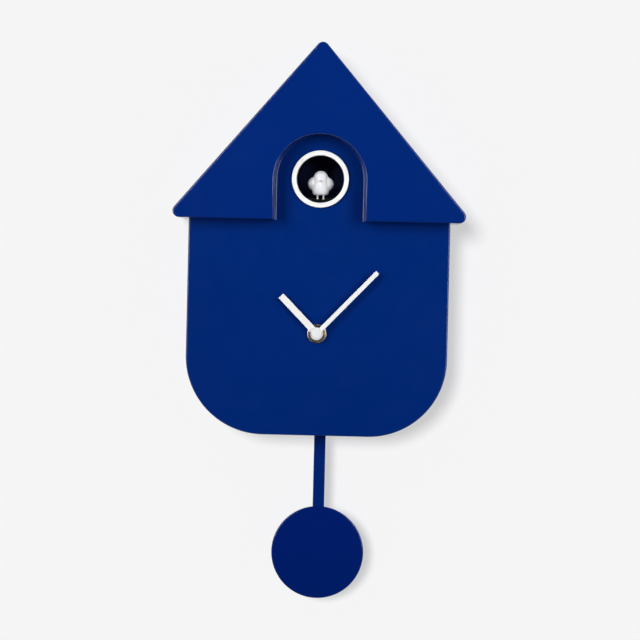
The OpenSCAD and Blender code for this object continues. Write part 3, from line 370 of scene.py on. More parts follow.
def new_piece(name, verts, faces, finish_name):
    """A mesh object with its faces turned outwards."""
    mesh = bpy.data.meshes.new(name)
    mesh.from_pydata(verts, [], faces)
    with opened(mesh) as bm:
        bmesh.ops.remove_doubles(bm, verts=bm.verts, dist=1e-7)
        bmesh.ops.recalc_face_normals(bm, faces=bm.faces)
    mesh.materials.append(finish[finish_name])
    return add_object(name, mesh)


def stack(name, rings, finish_name="case_blue"):
    """A closed solid through rings of the same number of points."""
    n = len(rings[0])
    faces = [(k * n + i, k * n + (i + 1) % n, (k + 1) * n + (i + 1) % n, (k + 1) * n + i)
             for k in range(len(rings) - 1) for i in range(n)]
    faces += [list(range(n)), list(range((len(rings) - 1) * n, len(rings) * n))]
    return new_piece(name, [p for ring in rings for p in ring], faces, finish_name)


def quarter_turn(steps):
    """The angles of a quarter circle."""
    return [pi / 2 * k / steps for k in range(steps + 1)]


def plate(name, outline_at, back, front, edge, finish_name="case_blue", rear_edge=0.0, steps=5):
    """A solid whose outline_at(inset) is stacked from back to front, its edges rounded."""
    quarter = quarter_turn(steps)
    rear = [(back - rear_edge * (1 - sin(a)), rear_edge * (1 - cos(a)))
            for a in reversed(quarter)] if rear_edge else [(back, 0.0)]
    fore = [(front + edge * (1 - sin(a)), edge * (1 - cos(a))) for a in quarter]
    return stack(name, [at_depth(outline_at(d), y) for y, d in rear + fore], finish_name)


# %% Cuts and cutters
def evaluated(ob):
    """Replaces an object's mesh by what its modifiers make of it."""
    bpy.context.view_layer.update()
    made = bpy.data.meshes.new_from_object(ob.evaluated_get(bpy.context.evaluated_depsgraph_get()))
    ob.modifiers.clear()
    old = ob.data
    ob.data = made
    made.name = ob.name
    bpy.data.meshes.remove(old)
    return ob


def carve(ob, *cutters, how="DIFFERENCE", crossing=False):
    """Cuts each cutter from a solid; crossing is for a cutter whose own parts overlap."""
    for cutter in cutters:
        mod = ob.modifiers.new("carve", "BOOLEAN")
        mod.solver, mod.operation, mod.object, mod.use_self = "EXACT", how, cutter, crossing
        evaluated(ob)
        bpy.data.objects.remove(cutter)
    return ob


def weld(ob, *parts):
    """Joins each part to a solid."""
    return carve(ob, *parts, how="UNION")


def through(outline, back, front):
    """An outline carried straight from one depth to another, as a cutter or a boss."""
    return stack("cutter", [at_depth(outline, back), at_depth(outline, front)])


def block(lo, hi):
    """A box between two corners."""
    return through(rectangle(lo[0], lo[2], hi[0], hi[2]), lo[1], hi[1])


def rod(x, z, r, back, front, count=64):
    """A round bar along the depth."""
    return through(circle(x, z, r, count), back, front)


# %% The last steps of every piece
body_of = {piece: body for body, pieces in frame["record"]["behaviour"]["bodies"].items()
           for piece in pieces}


def settle(ob, turn=SMOOTH_TURN):
    """Clean mesh, smooth faces, sharp edges where the surface turns, even shading on flat faces."""
    with opened(ob.data) as bm:
        bmesh.ops.remove_doubles(bm, verts=bm.verts, dist=2e-6)
        bmesh.ops.dissolve_degenerate(bm, edges=bm.edges, dist=1e-6)
        loose = sum(1 for e in bm.edges if len(e.link_faces) != 2)
        print(f"{ob.name}: {len(bm.faces)} faces, {loose} open edges")
    ob.data.shade_smooth()
    ob.data.set_sharp_from_angle(angle=turn)
    ob.modifiers.new("even", "WEIGHTED_NORMAL").keep_sharp = True
    return evaluated(ob)


def finished(ob, node_name, turn=SMOOTH_TURN):
    """Settles a piece, hangs it on its body and hides the node that it stands for."""
    settle(ob, turn)
    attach(ob, body_of[node_name])
    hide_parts(node_name)


# %% [markdown]
# ## Gable cover
# On the clock this is a hollow moulding, three millimetres thick, whose arched recess is drafted so
# that it leaves its mould. Its front edge and the mouth of the arch are eased by a small radius that
# draws a thin line of light.

# %% Gable cover
ROOF_W, ROOF_H, ROOF_R = mm(223.6, 131.6, 4.8)
ROOF_WALL, ROOF_EDGE, ROOF_REAR_EDGE = mm(3.0, 1.2, 0.4)
ARCH_FLOOR_R, ARCH_MOUTH_R, ARCH_WALL = mm(31.6, 34.4, 2.4)
ARCH_LIP, ARCH_FOOT, ARCH_SINK = mm(1.4, 0.9, 1.4)
ROOF_BOSS_R, CASE_BOSS_R, PILOT_R = mm(4.5, 5, 1.55)
ROOF_SCREWS = [mm(-61.8, -47), mm(61.8, -47), mm(0, 7.1)]
gable = [Vector((-ROOF_W / 2, base_z)), Vector((ROOF_W / 2, base_z)), Vector((0, base_z + ROOF_H))]
gable_r = [ROOF_R] * 3


def arch_ring(y, r, low=base_z - 4 * MM, steps=64):
    """The arch's outline at one depth: straight jambs and a half circle that sinks with the draft."""
    centre = port.z - ARCH_SINK * (r - ARCH_FLOOR_R) / (ARCH_MOUTH_R - ARCH_FLOOR_R)
    arc = [Vector((port.x + r * cos(pi * k / steps), centre + r * sin(pi * k / steps)))
           for k in range(steps + 1)]
    return at_depth([Vector((-r, low)), Vector((r, low))] + arc, y)


def arch_r(y):
    """The arch's radius at a depth."""
    return ARCH_FLOOR_R + (dial_y - y) / (dial_y - gable_y) * (ARCH_MOUTH_R - ARCH_FLOOR_R)


def arch_cutter():
    """The space inside the arch: a fillet at its foot, a steep jamb and a rounded lip at its mouth."""
    quarter = quarter_turn(6)
    foot = [(dial_y - ARCH_FOOT * (1 - cos(a)), ARCH_FLOOR_R + ARCH_FOOT * sin(a)) for a in quarter]
    mouth = [(gable_y + ARCH_LIP * (1 - sin(a)), ARCH_MOUTH_R - ARCH_LIP * cos(a)) for a in quarter]
    rows = [(dial_y + 0.5 * MM, ARCH_FLOOR_R)] + foot + mouth + [(gable_y - 3 * MM, ARCH_MOUTH_R)]
    return stack("arch_cut", [arch_ring(y, r) for y, r in rows])


arch_shell = stack("arch_shell", [arch_ring(y + past, arch_r(y) + ARCH_WALL, base_z + 0.8 * MM)
                                  for y, past in ((dial_y, 0), (gable_y, 2 * MM))])
roof = plate("roof_skin", lambda d: rounded(gable, gable_r, d), roof_hi.y, gable_y, ROOF_EDGE, "roof_blue",
             rear_edge=ROOF_REAR_EDGE)
carve(roof, through(rounded(gable, gable_r, ROOF_WALL), roof_hi.y + 2 * MM, gable_y + ROOF_WALL))
weld(roof, arch_shell)
for x, z in ROOF_SCREWS:
    weld(roof, rod(x, z, ROOF_BOSS_R, dial_y, gable_y + 2 * MM, 48))
    carve(roof, rod(x, z, PILOT_R, dial_y + MM, dial_y - 9 * MM, 32))
carve(roof, arch_cutter())
clear = case_hi.x + 0.3 * MM
carve(roof, block((-clear, dial_y, base_z - MM), (clear, 2 * MM, base_z + ROOF_WALL + 0.5 * MM)))
finished(roof, "roof_cover")

# %% [markdown]
# ## Body
# The body is the same kind of shell, house-shaped so that its top tucks in under the gable. Seen
# from the front only its flat dial, its straight sides and the two big round corners show; the slot
# that the pendulum swings in is in its underside.

# %% Body
CASE_WALL, CASE_EDGE, CASE_REAR_EDGE, CASE_R = mm(3.0, 1.0, 0.5, 57)
CASE_SCREWS = [mm(-85, -67), mm(85, -67), mm(-71.03, -203.53), mm(71.03, -203.53), mm(0, 22.6)]
slope = ROOF_W / 2 / ROOF_H
under_roof = (ROOF_WALL + 0.3 * MM) * hypot(1, slope)
eave_z = base_z + (ROOF_W / 2 - under_roof - case_hi.x) / slope
top_z = base_z + ROOF_H - under_roof / slope
house = rectangle(case_lo.x, case_lo.z, case_hi.x, eave_z)
house.insert(3, Vector((0, top_z)))
house_r = [CASE_R, CASE_R, *mm(4, 5, 4)]


def house_outline(d):
    """The body's outline moved inwards by d."""
    return rounded(house, house_r, d, 28)


rod_lo, rod_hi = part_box("pendulum_rod")
middle = (rod_lo.x + rod_hi.x) / 2
SLOT_HALF, SLOT_ROOM = mm(17.4, 4)
GROOVE_IN, GROOVE_OUT, GROOVE_DEPTH = mm(20.9, 21.45, 0.6)
TUNNEL_HOLE_R, BUSH_HOLE_R = mm(18.85, 4.8)
body = plate("body_skin", house_outline, 0.0, dial_y, CASE_EDGE, "case_blue", rear_edge=CASE_REAR_EDGE)
carve(body, through(house_outline(CASE_WALL), MM, dial_y + CASE_WALL))
for x, z in CASE_SCREWS:
    weld(body, rod(x, z, CASE_BOSS_R, -7 * MM, dial_y + 2 * MM, 40))
    carve(body, rod(x, z, PILOT_R, 0, -18 * MM, 24))
groove = rod(port.x, port.z, GROOVE_OUT, dial_y + GROOVE_DEPTH, dial_y - MM, 128)
carve(body, carve(groove, rod(port.x, port.z, GROOVE_IN, dial_y + MM, dial_y - 2 * MM, 128)))
for at, r in ((port, TUNNEL_HOLE_R), (hub, BUSH_HOLE_R)):
    carve(body, rod(at.x, at.z, r, dial_y + 5 * MM, dial_y - MM))
carve(body, block((middle - SLOT_HALF, rod_lo.y - SLOT_ROOM, case_lo.z - MM),
                  (middle + SLOT_HALF, rod_hi.y + SLOT_ROOM, case_lo.z + 4 * MM)))
finished(body, "front_case")

# %% [markdown]
# ## Turned pieces
# The porthole ring, the fixing nut, the cap and the pendulum's disc are all round about the depth
# axis. A profile spun about that axis describes them fully, so one Geometry Nodes tree does it: the
# profile is a line of points, the tree turns it into a curve, sweeps it round a circle and merges
# the seam. The number of segments is an input, so a small cap needs fewer faces than the disc.

# %% A lathe made of nodes
SPINDLE = MM
FORWARD, UPWARD, BACKWARD = (-pi / 2, 0, 0), (pi, 0, 0), (pi / 2, 0, 0)


def geometry_tree(name, inputs):
    """A Geometry Nodes tree with named inputs after its geometry."""
    shape = ("Geometry", "Geometry")
    return group_tree(name, [shape, *inputs], [shape], "GeometryNodeTree")


def run_tree(ob, tree, **values):
    """Applies a Geometry Nodes tree to an object, its inputs set by their identifiers."""
    ob.data.materials.clear()
    mod = ob.modifiers.new(tree.name, "NODES")
    mod.node_group = tree
    for item in tree.interface.items_tree:
        key = item.name.replace(" ", "_")
        if item.item_type == "SOCKET" and item.in_out == "INPUT" and key in values:
            mod[item.identifier] = values[key]
    return evaluated(ob)


def last_steps(tree, geometry, gives, material, smooth=True):
    """Realize Instances, shading and Set Material, which close every tree."""
    real = node(tree, "GeometryNodeRealizeInstances", [("Geometry", geometry)]).outputs[0]
    shade = node(tree, "GeometryNodeSetShadeSmooth", [("Geometry", real)], Shade_Smooth=smooth)
    done = node(tree, "GeometryNodeSetMaterial", [("Geometry", shade.outputs[0]), ("Material", material)])
    tree.links.new(done.outputs[0], gives[0])
    return tree


def make_lathe():
    """Sweeps a line, drawn as radius - SPINDLE and distance forward, once round a circle."""
    tree, given, gives = geometry_tree("lathe", [
        ("Int", "Segments", 96), ("Vector", "Turn"), ("Vector", "Centre"), ("Material", "Material")])
    line = node(tree, "GeometryNodeMeshToCurve", [(0, given["Geometry"])])
    path = node(tree, "GeometryNodeCurvePrimitiveCircle", [("Resolution", given["Segments"])],
                mode="RADIUS", Radius=SPINDLE)
    level = node(tree, "GeometryNodeSetCurveNormal", [(0, path.outputs["Curve"])], mode="Z_UP")
    swept = node(tree, "GeometryNodeCurveToMesh", [
        ("Curve", level.outputs[0]), ("Profile Curve", line.outputs[0])])
    seamless = node(tree, "GeometryNodeMergeByDistance", [("Geometry", swept.outputs[0])], Distance=1e-6)
    placed = node(tree, "GeometryNodeTransform", [
        ("Geometry", seamless.outputs[0]), ("Rotation", given["Turn"]), ("Translation", given["Centre"])])
    return last_steps(tree, placed.outputs[0], gives, given["Material"])


lathe = make_lathe()


def turned(name, profile, centre, finish_name, segments=96, turn=FORWARD, closed=False):
    """A lathe piece; the profile is a list of (radius, distance along the axis) from a centre."""
    mesh = bpy.data.meshes.new(name)
    count = len(profile)
    mesh.from_pydata([(r - SPINDLE, along, 0) for r, along in profile],
                     [(k, (k + 1) % count) for k in range(count if closed else count - 1)], [])
    ob = run_tree(add_object(name, mesh), lathe, Segments=segments, Turn=turn, Centre=centre,
                  Material=finish[finish_name])
    with opened(ob.data) as bm:
        bmesh.ops.recalc_face_normals(bm, faces=bm.faces)
    return ob


def arc_points(cx, cy, r, start, end, steps=8):
    """Points of a profile's arc, angles in degrees."""
    return [(cx + r * cos(radians(start + (end - start) * k / steps)),
             cy + r * sin(radians(start + (end - start) * k / steps))) for k in range(steps + 1)]


# %% Porthole ring
RING_IN, RING_OUT, RING_PROUD = mm(17.3, 20.85, 2.8)
SHOULDER, DISH, SPIGOT = mm(0.75, 0.14, 1.4)
ring_mid, tunnel_end = (RING_IN + RING_OUT) / 2, dial_y - ring_hi.y
ring_profile = [(RING_OUT, 0.0),
                *arc_points(RING_OUT - SHOULDER, RING_PROUD - SHOULDER, SHOULDER, 0, 90, 6),
                (ring_mid + 0.5 * MM, RING_PROUD - 0.4 * DISH), (ring_mid, RING_PROUD - DISH),
                (ring_mid - 0.5 * MM, RING_PROUD - 0.4 * DISH),
                *arc_points(RING_IN + SHOULDER, RING_PROUD - SHOULDER, SHOULDER, 90, 180, 6),
                (RING_IN, tunnel_end), (RING_IN + SPIGOT, tunnel_end), (RING_IN + SPIGOT, 0.0)]
ring = turned("porthole_rim", ring_profile, port, "white_plastic", 128, closed=True)
finished(ring, "porthole_ring", radians(50))

# %% Fixing nut and cap
NUT_R, NUT_T, NUT_ROUND, BUSH_R, DIP = mm(7.0, 2.4, 0.4, 4.55, 1.9)
CAP_HOLE_R, CAP_HOLE_DEPTH, CAP_ROUND = mm(1.55, 0.5, 0.6)
nut_profile = [(NUT_R, 0.0), *arc_points(NUT_R - NUT_ROUND, NUT_T - NUT_ROUND, NUT_ROUND, 0, 90, 4),
               (NUT_R - 0.9 * MM, NUT_T), (NUT_R - 1.1 * MM, NUT_T - 0.15 * MM),
               (BUSH_R + 0.9 * MM, NUT_T - DIP), (BUSH_R, NUT_T - DIP), (BUSH_R, 0.0)]
nut = turned("round_nut", nut_profile, hub, "nut_metal", 96, closed=True)
finished(nut, "fixing_nut")
cap_lo, cap_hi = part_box("hand_cap")
cap_r, cap_t = (cap_hi.x - cap_lo.x) / 2, cap_hi.y - cap_lo.y
cap_profile = [(0.0, CAP_HOLE_DEPTH), (CAP_HOLE_R, CAP_HOLE_DEPTH), (CAP_HOLE_R, 0.0),
               (cap_r - 0.1 * MM, 0.0), (cap_r, 0.1 * MM),
               *arc_points(cap_r - CAP_ROUND, cap_t - 0.75 * MM, CAP_ROUND, 0, 80, 6),
               (0.6 * cap_r, cap_t - 0.06 * MM), (0.0, cap_t)]
cap = turned("hand_cap_button", cap_profile, (hub.x, cap_hi.y, hub.z), "cap_white", 64)
finished(cap, "hand_cap")

# %% [markdown]
# ## Bird
# A little moulded bird, all head and belly, that stands on the slide. Body and head are one loft of
# oval sections under a subdivision surface, so that the neck stays soft. Each wing is a domed leaf
# with three shallow feather steps, set against the body's side.

# %% Bird's body and wings
perch_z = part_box("bird_legs")[0].z
BIRD_Y, WING_Z, BEAK_Z = -44.0 * MM, -43.9, -42.0
SOFT_TURN = radians(60)
#            height, half width, reach to the front, reach to the back, all in mm
BIRD_SECTIONS = [(-52.1, 4.3, 3.9, 4.4), (-51.9, 5.1, 4.9, 5.3), (-51.2, 5.75, 5.7, 6.2),
                 (-49.4, 6.3, 6.5, 7.2), (-47.2, 6.6, 7.0, 7.4), (-45.0, 6.5, 6.9, 6.8),
                 (-43.0, 6.05, 6.3, 6.1), (-41.2, 5.6, 5.75, 5.6), (-39.3, 5.5, 5.7, 5.6),
                 (-37.4, 5.15, 5.4, 5.4), (-35.8, 4.25, 4.4, 4.5), (-34.7, 2.9, 3.0, 3.0),
                 (-34.15, 1.3, 1.3, 1.3)]
#            depth, half width, underside, top, all in mm
TAIL_SECTIONS = [(-41, 2.6, -50.2, -45.5), (-37, 2.9, -49.4, -45.0), (-33, 2.8, -47.6, -44.8),
                 (-30.2, 2.3, -46.2, -44.6), (-29.2, 1.6, -45.6, -44.7)]
#            share of the wing's outline, share of its height
WING_RINGS = [(1.0, 0.0), (0.93, 0.2), (0.83, 0.42), (0.69, 0.65), (0.5, 0.84), (0.28, 0.96), (0.08, 1.0)]


def soft(ob, levels=2):
    """A subdivision surface, applied."""
    mod = ob.modifiers.new("soft", "SUBSURF")
    mod.levels = mod.render_levels = levels
    return evaluated(ob)


def oval(z, half, fore, aft, count=20):
    """A level oval section whose front and back reach differently far."""
    return [Vector((half * sin(a) * MM,
                    BIRD_Y - (fore if cos(a) > 0 else aft) * cos(a) * MM, z * MM))
            for a in round_angles(count)]


def wing(side):
    """A leaf-shaped dome on one side of the body, pointing back and down, with feather steps."""
    rings = []
    for reach, level in WING_RINGS:
        ring = []
        for a in round_angles(28):
            back, up = cos(a), sin(a)
            long = 5.2 + (1.9 * back ** 3 if back > 0 else 0.0)
            y, z = long * back * reach, 5.75 * up * reach * (1 - 0.22 * max(back, 0))
            step = 0.16 * max(back, 0) * (0.5 + 0.5 * cos(z * 2.1)) * level
            x = 4.6 + (5.0 - 0.7 * max(back, 0)) * level - step
            y, z = y * 0.93 - z * 0.2, z * 0.98 - max(y, 0) * 0.22
            ring.append(Vector((side * x * MM, BIRD_Y + (0.7 + y) * MM, (WING_Z + z) * MM)))
        rings.append(ring)
    return stack(f"bird_wing_{'right' if side > 0 else 'left'}", rings, "bird_wing_white")


bird = stack("bird_figure", [oval(*row) for row in BIRD_SECTIONS], "bird_white")
tail = stack("tail", [at_depth(rectangle(-w * MM, lo * MM, w * MM, hi * MM), y * MM)
                      for y, w, lo, hi in TAIL_SECTIONS], "bird_white")
weld(soft(bird), soft(tail))
finished(bird, "bird_body", SOFT_TURN)
for side in (-1, 1):
    finished(soft(wing(side)), "bird_wings", SOFT_TURN)

# %% Beak and legs
beak = stack("bird_beak_point", [
    [Vector((w * cos(a) * MM, y * MM, (BEAK_Z + drop + h * sin(a)) * MM))
     for a in (pi / 4 + pi / 2 * k for k in range(4))]
    for y, w, h, drop in ((-48.6, 1.9, 1.6, 0), (-50.4, 1.6, 1.3, 0), (-51.8, 0.95, 0.75, -0.15),
                          (-52.7, 0.3, 0.25, -0.35))], "beak_grey")
finished(soft(beak), "bird_beak", SOFT_TURN)
SHIN = [(0, 0), (1.2, 0), (1.25, 0.18), (0.9, 0.4), (0.66, 0.75), (0.6, 1.6), (0.68, 2.8), (0.9, 3.6),
        (0, 3.8)]
for k, x in enumerate((-2.2, 2.2)):
    leg = turned(f"bird_leg_{k + 1}", [mm(*point) for point in SHIN], (x * MM, BIRD_Y, perch_z),
                 "leg_grey", 24, UPWARD)
    finished(leg, "bird_legs", SOFT_TURN)

# %% [markdown]
# ## Hands
# Stamped strips with square ends and a round eye. The eye of the minute hand has a rim that the
# white cap sits in.

# %% Hands
def hand_outline(length, width, eye, direction, d=0.0, steps=40):
    """A bar with a square end that grows from a round eye, moved inwards by d."""
    r, w, top = eye - d, width / 2 - d, length - d
    half = asin(w / r)
    arc = [pi / 2 + half + (2 * pi - 2 * half) * k / steps for k in range(steps + 1)]
    flat = [Vector((r * cos(a), r * sin(a))) for a in arc] + [Vector((w, top)), Vector((-w, top))]
    c, s = cos(-radians(direction)), sin(-radians(direction))
    return [Vector((hub.x + c * p.x - s * p.y, hub.z + s * p.x + c * p.y)) for p in flat]


HOUR = dict(length=38 * MM, width=4.9 * MM, eye=4.6 * MM, direction=315.5)
MINUTE = dict(length=63 * MM, width=3.3 * MM, eye=4.6 * MM, direction=43.5)
HAND_T, HAND_EDGE, HAND_REAR_EDGE = mm(0.8, 0.18, 0.1)
HOUR_BORE_R, MINUTE_RIM_R, MINUTE_BORE_R = mm(2.52, 2.3, 1.52)
hour_lo, hour_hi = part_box("hour_hand")
minute_lo, minute_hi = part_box("minute_hand")
hour = plate("hour_bar", lambda d: hand_outline(d=d, **HOUR), hour_hi.y, hour_lo.y, HAND_EDGE,
             "hand_white", HAND_REAR_EDGE, 3)
carve(hour, rod(hub.x, hub.z, HOUR_BORE_R, hour_hi.y + MM, hour_lo.y - MM, 48))
finished(hour, "hour_hand")
minute = plate("minute_bar", lambda d: hand_outline(d=d, **MINUTE), minute_lo.y + HAND_T, minute_lo.y,
               HAND_EDGE, "hand_white", HAND_REAR_EDGE, 3)
weld(minute, rod(hub.x, hub.z, MINUTE_RIM_R, minute_hi.y, minute_lo.y + 0.5 * MM, 48))
carve(minute, rod(hub.x, hub.z, MINUTE_BORE_R, minute_hi.y + MM, minute_lo.y - MM, 32))
finished(minute, "minute_hand")

# %% [markdown]
# ## Pendulum
# A flat rod with softly broken edges and a flat round disc with a groove on its back that takes the
# rod. Both are moulded in the same blue as the case. Their finishes hold that blue a little darker,
# painted shade for the weaker light low down where the pendulum hangs.

# %% Rod and disc
ROD_ROUND, ROD_EDGE, DISC_EDGE, DISC_REAR_EDGE, GROOVE_FIT = mm(0.5, 0.35, 0.8, 0.4, 0.05)
PIN_R, PIN_TO_HOLE, ROD_HOLE_R = mm(1.2, 12, 1.46)
disc_lo, disc_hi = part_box("pendulum_disc")
disc_r, disc_t = (disc_hi.x - disc_lo.x) / 2, disc_hi.y - disc_lo.y
disc_rear = middle_at(disc_lo, disc_hi, disc_hi.y)
rod_points = rectangle(rod_lo.x, rod_lo.z, rod_hi.x, rod_hi.z)
bar = plate("pendulum_bar", lambda d: rounded(rod_points, [ROD_ROUND] * 4, d, 3), rod_hi.y, rod_lo.y,
            ROD_EDGE, "rod_blue", ROD_EDGE, 4)
hole_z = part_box("hanger_pin")[0].z + PIN_R * 2 - PIN_TO_HOLE
carve(bar, rod(middle, hole_z, ROD_HOLE_R, rod_hi.y + MM, rod_lo.y - MM, 32))
finished(bar, "pendulum_rod")
bob_profile = [(0.0, 0.0), (disc_r - DISC_REAR_EDGE, 0.0), (disc_r, DISC_REAR_EDGE),
               *arc_points(disc_r - DISC_EDGE, disc_t - DISC_EDGE, DISC_EDGE, 0, 90, 8), (0.0, disc_t)]
bob = turned("pendulum_bob", bob_profile, disc_rear, "disc_blue", 160)
carve(bob, block((rod_lo.x - GROOVE_FIT, rod_lo.y, rod_lo.z - GROOVE_FIT),
                 (rod_hi.x + GROOVE_FIT, rod_hi.y + MM, disc_rear.z + disc_r + MM)))
finished(bob, "pendulum_disc")

# %% [markdown]
# ## Back
# The back cover is a plate that drops into the case's rim. Wells for its five screws, a pocket for
# the battery door, a well for the setting knob and a keyhole to hang from are sunk into it. The slots
# over the speaker repeat by a rule, their length follows a circle, so Geometry Nodes make them.

# %% Speaker slots made of nodes
def make_slot_row():
    """A row of upright slots with round ends whose lengths follow a circle, as one cutter."""
    tree, given, gives = geometry_tree("slot_row", [
        ("Int", "Count", 7), ("Float", "Pitch", 6 * MM), ("Float", "Reach", 21 * MM),
        ("Float", "Width", 2.6 * MM), ("Float", "Depth", 6 * MM), ("Vector", "Centre"),
        ("Material", "Material")])
    plus, minus, times = sums(tree)
    wide, deep, reach = given["Width"], given["Depth"], given["Reach"]

    def xyz(links, **values):
        return node(tree, "CombineXYZ", links, **values).outputs[0]

    def copies(points, shape, **values):
        return node(tree, "GeometryNodeInstanceOnPoints", [("Points", points), ("Instance", shape)],
                    **values)

    first = times(times(minus(given["Count"], 1), -0.5), given["Pitch"])
    line = node(tree, "GeometryNodeMeshLine", [
        ("Count", given["Count"]), ("Start Location", xyz([("X", first)])),
        ("Offset", xyz([("X", given["Pitch"])]))]).outputs[0]
    place = node(tree, "GeometryNodeInputPosition").outputs[0]
    across = node(tree, "SeparateXYZ", [(0, place)]).outputs["X"]
    chord = maths(tree, "SQRT", minus(times(reach, reach), times(across, across)))
    half = minus(chord, times(wide, 0.5))
    bar = node(tree, "GeometryNodeMeshCube", [("Size", xyz([("X", wide), ("Y", deep)], Z=1.0))])
    bars = copies(line, bar.outputs[0])
    tree.links.new(xyz([("Z", times(half, 2.0))], X=1.0, Y=1.0), bars.inputs["Scale"])
    pill = node(tree, "GeometryNodeMeshCylinder", [
        ("Radius", times(wide, 0.5)), ("Depth", plus(deep, 0.5 * MM))], Vertices=32)
    joined = node(tree, "GeometryNodeJoinGeometry")
    tree.links.new(bars.outputs[0], joined.inputs[0])
    for way in (-1.0, 1.0):
        moved = node(tree, "GeometryNodeSetPosition", [
            ("Geometry", line), ("Offset", xyz([("Z", times(half, way))]))])
        ends = copies(moved.outputs[0], pill.outputs["Mesh"], Rotation=BACKWARD)
        tree.links.new(ends.outputs[0], joined.inputs[0])
    placed = node(tree, "GeometryNodeTransform", [
        ("Geometry", joined.outputs[0]), ("Translation", given["Centre"])])
    return last_steps(tree, placed.outputs[0], gives, given["Material"], smooth=False)


slot_row = make_slot_row()


def slots(centre):
    """The cutter of a row of slots round a centre."""
    return run_tree(new_piece("cutter", [(0, 0, 0)], [], "back_blue"), slot_row, Centre=centre,
                    Material=finish["back_blue"])


# %% Pockets and holes of the back
def patch(centre, wide, tall, r):
    """A rounded rectangle round a centre, as an outline that can be moved inwards."""
    x, z, w, h = centre.x, centre.z, wide / 2, tall / 2
    return lambda d=0.0: rounded(rectangle(x - w, z - h, x + w, z + h), [r] * 4, d, 5)


def sink(centre, wide, tall, r, depth, ease=0.0):
    """The cutter of a pocket in the rear face; its rim is eased by a small bevel."""
    shape = patch(centre, wide, tall, r)
    rows = [(-depth, 0.0), (-ease, 0.0)] + ([(0.0, -ease)] if ease else []) + [(MM, -ease)]
    return stack("cutter", [at_depth(shape(d), y) for y, d in rows])


def sunk_hole(x, z, r, depth, ease=0.35 * MM, count=64):
    """The cutter of a round hole in the rear face with an eased rim."""
    rows = [(-depth, r), (-ease, r), (0.0, r + ease), (MM, r + ease)]
    return stack("cutter", [at_depth(circle(x, z, q, count), y) for y, q in rows])


def posts(places, foot, hole, end):
    """Bosses down to a foot, with pilot holes, on the inner face of the cover."""
    for x, z in places:
        weld(cover, rod(x, z, POST_R, -MM, foot, 32))
        carve(cover, rod(x, z, POST_PILOT_R, hole, end, 24))


# %% Back cover: plate, wells, tub and posts
COVER_T, COVER_FIT, COVER_EDGE, COVER_REAR_EDGE = mm(2.5, 0.3, 0.2, 0.6)
WELL_R, WELL_DEPTH, WELL_FLOOR, HEAD_HOLE_R, SCREW_HOLE_R = mm(5, 7, 2, 3.2, 1.7)
DOOR_W, DOOR_H, DOOR_T, DOOR_FIT, BAY_WALL = mm(49.6, 62.7, 2.2, 0.3, 1.6)
BAY_W, BAY_H, BAY_DEPTH = mm(45.6, 57.7, 17.8)
POST_R, POST_PILOT_R, SPEAKER_POST_RING = mm(2.6, 1.15, 27.8)
RIM_EASE, KNOB_RIM_EASE, KEY_RIM_EASE = mm(0.3, 0.5, 0.4)
door_lo, door_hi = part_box("battery_door")
cover_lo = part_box("back_cover")[0]
bay = middle_at(door_lo, door_hi, 0)
knob = Vector(mm(-14.5, 0, -167.9))
speaker, switch_place, key_slot = (Vector(mm(*place)) for place in (
    (-50, 0, -119.4), (-47, 0, -188.4), (0, 0, 5.6)))
pocket_w, pocket_h = DOOR_W + 2 * DOOR_FIT, DOOR_H + 2 * DOOR_FIT
cover = plate("back_plate", lambda d: house_outline(CASE_WALL + COVER_FIT + d), 0.0, -COVER_T, COVER_EDGE,
              "back_blue", COVER_REAR_EDGE, 4)
for x, z in CASE_SCREWS:
    weld(cover, rod(x, z, WELL_R, -MM, -WELL_DEPTH, 48))
tub = patch(bay, pocket_w + 2 * BAY_WALL, pocket_h + 2 * BAY_WALL, 2 * MM)
weld(cover, through(tub(), -MM, cover_lo.y), rod(knob.x, knob.z, *mm(10.5, -1, -9)))
posts([(speaker.x + SPEAKER_POST_RING * cos(radians(a)),
        speaker.z + SPEAKER_POST_RING * sin(radians(a))) for a in (30, 150, 270)],
      *mm(-3.7, -0.8, -5))
posts([mm(x, z) for x in (-72.5, -33.5) for z in (-193.9, -158.9)],
      *mm(-10.4, -4.4, -11))
print("wells and posts:", len(cover.data.polygons), "faces")

# %% Back cover: holes and pockets
for x, z in CASE_SCREWS:
    carve(cover, sunk_hole(x, z, HEAD_HOLE_R, WELL_DEPTH - WELL_FLOOR),
          rod(x, z, SCREW_HOLE_R, -MM, -WELL_DEPTH - MM, 32))
carve(cover, sink(bay, pocket_w, pocket_h, MM, DOOR_T + DOOR_FIT, RIM_EASE),
      sink(bay, BAY_W, BAY_H, MM, BAY_DEPTH))
for side in (-1, 1):
    x = bay.x + side * pocket_w / 2
    carve(cover, block((x - 1.2 * MM, -1.75 * MM, -193.3 * MM), (x + 1.2 * MM, MM, -192.0 * MM)))
carve(cover, sunk_hole(knob.x, knob.z, *mm(9, 7.5), KNOB_RIM_EASE, 96),
      rod(knob.x, knob.z, *mm(1.8, -7, -11), 32),
      sunk_hole(0, 0, *mm(4.5, 5), KEY_RIM_EASE),
      sink(key_slot, *mm(4.4, 15.6, 2.19, 5), RIM_EASE),
      sink(switch_place, *mm(9.6, 3.8, 0.5, 5), RIM_EASE))
carve(cover, slots(speaker), crossing=True)
finished(cover, "back_cover")

# %% Battery door
HINGE_Z, LEAF_EDGE, LEAF_REAR_EDGE = mm(-192.65, 0.15, 0.35)
leaf_points = rectangle(bay.x - DOOR_W / 2, HINGE_Z, bay.x + DOOR_W / 2, door_hi.z)
leaf_r = mm(0.35, 0.35, 0.9, 0.9)
leaf = plate("door_leaf", lambda d: rounded(leaf_points, leaf_r, d, 5), 0.0, -DOOR_T, LEAF_EDGE,
             "door_blue", LEAF_REAR_EDGE, 4)


def along_x(z, r, lo, hi, count=32):
    """A round bar along X at the height of the hinge."""
    ring = [(r * cos(a), r * sin(a)) for a in round_angles(count)]
    return stack("bar", [[Vector((x, -DOOR_T / 2 + a, z + b)) for a, b in ring] for x in (lo, hi)])


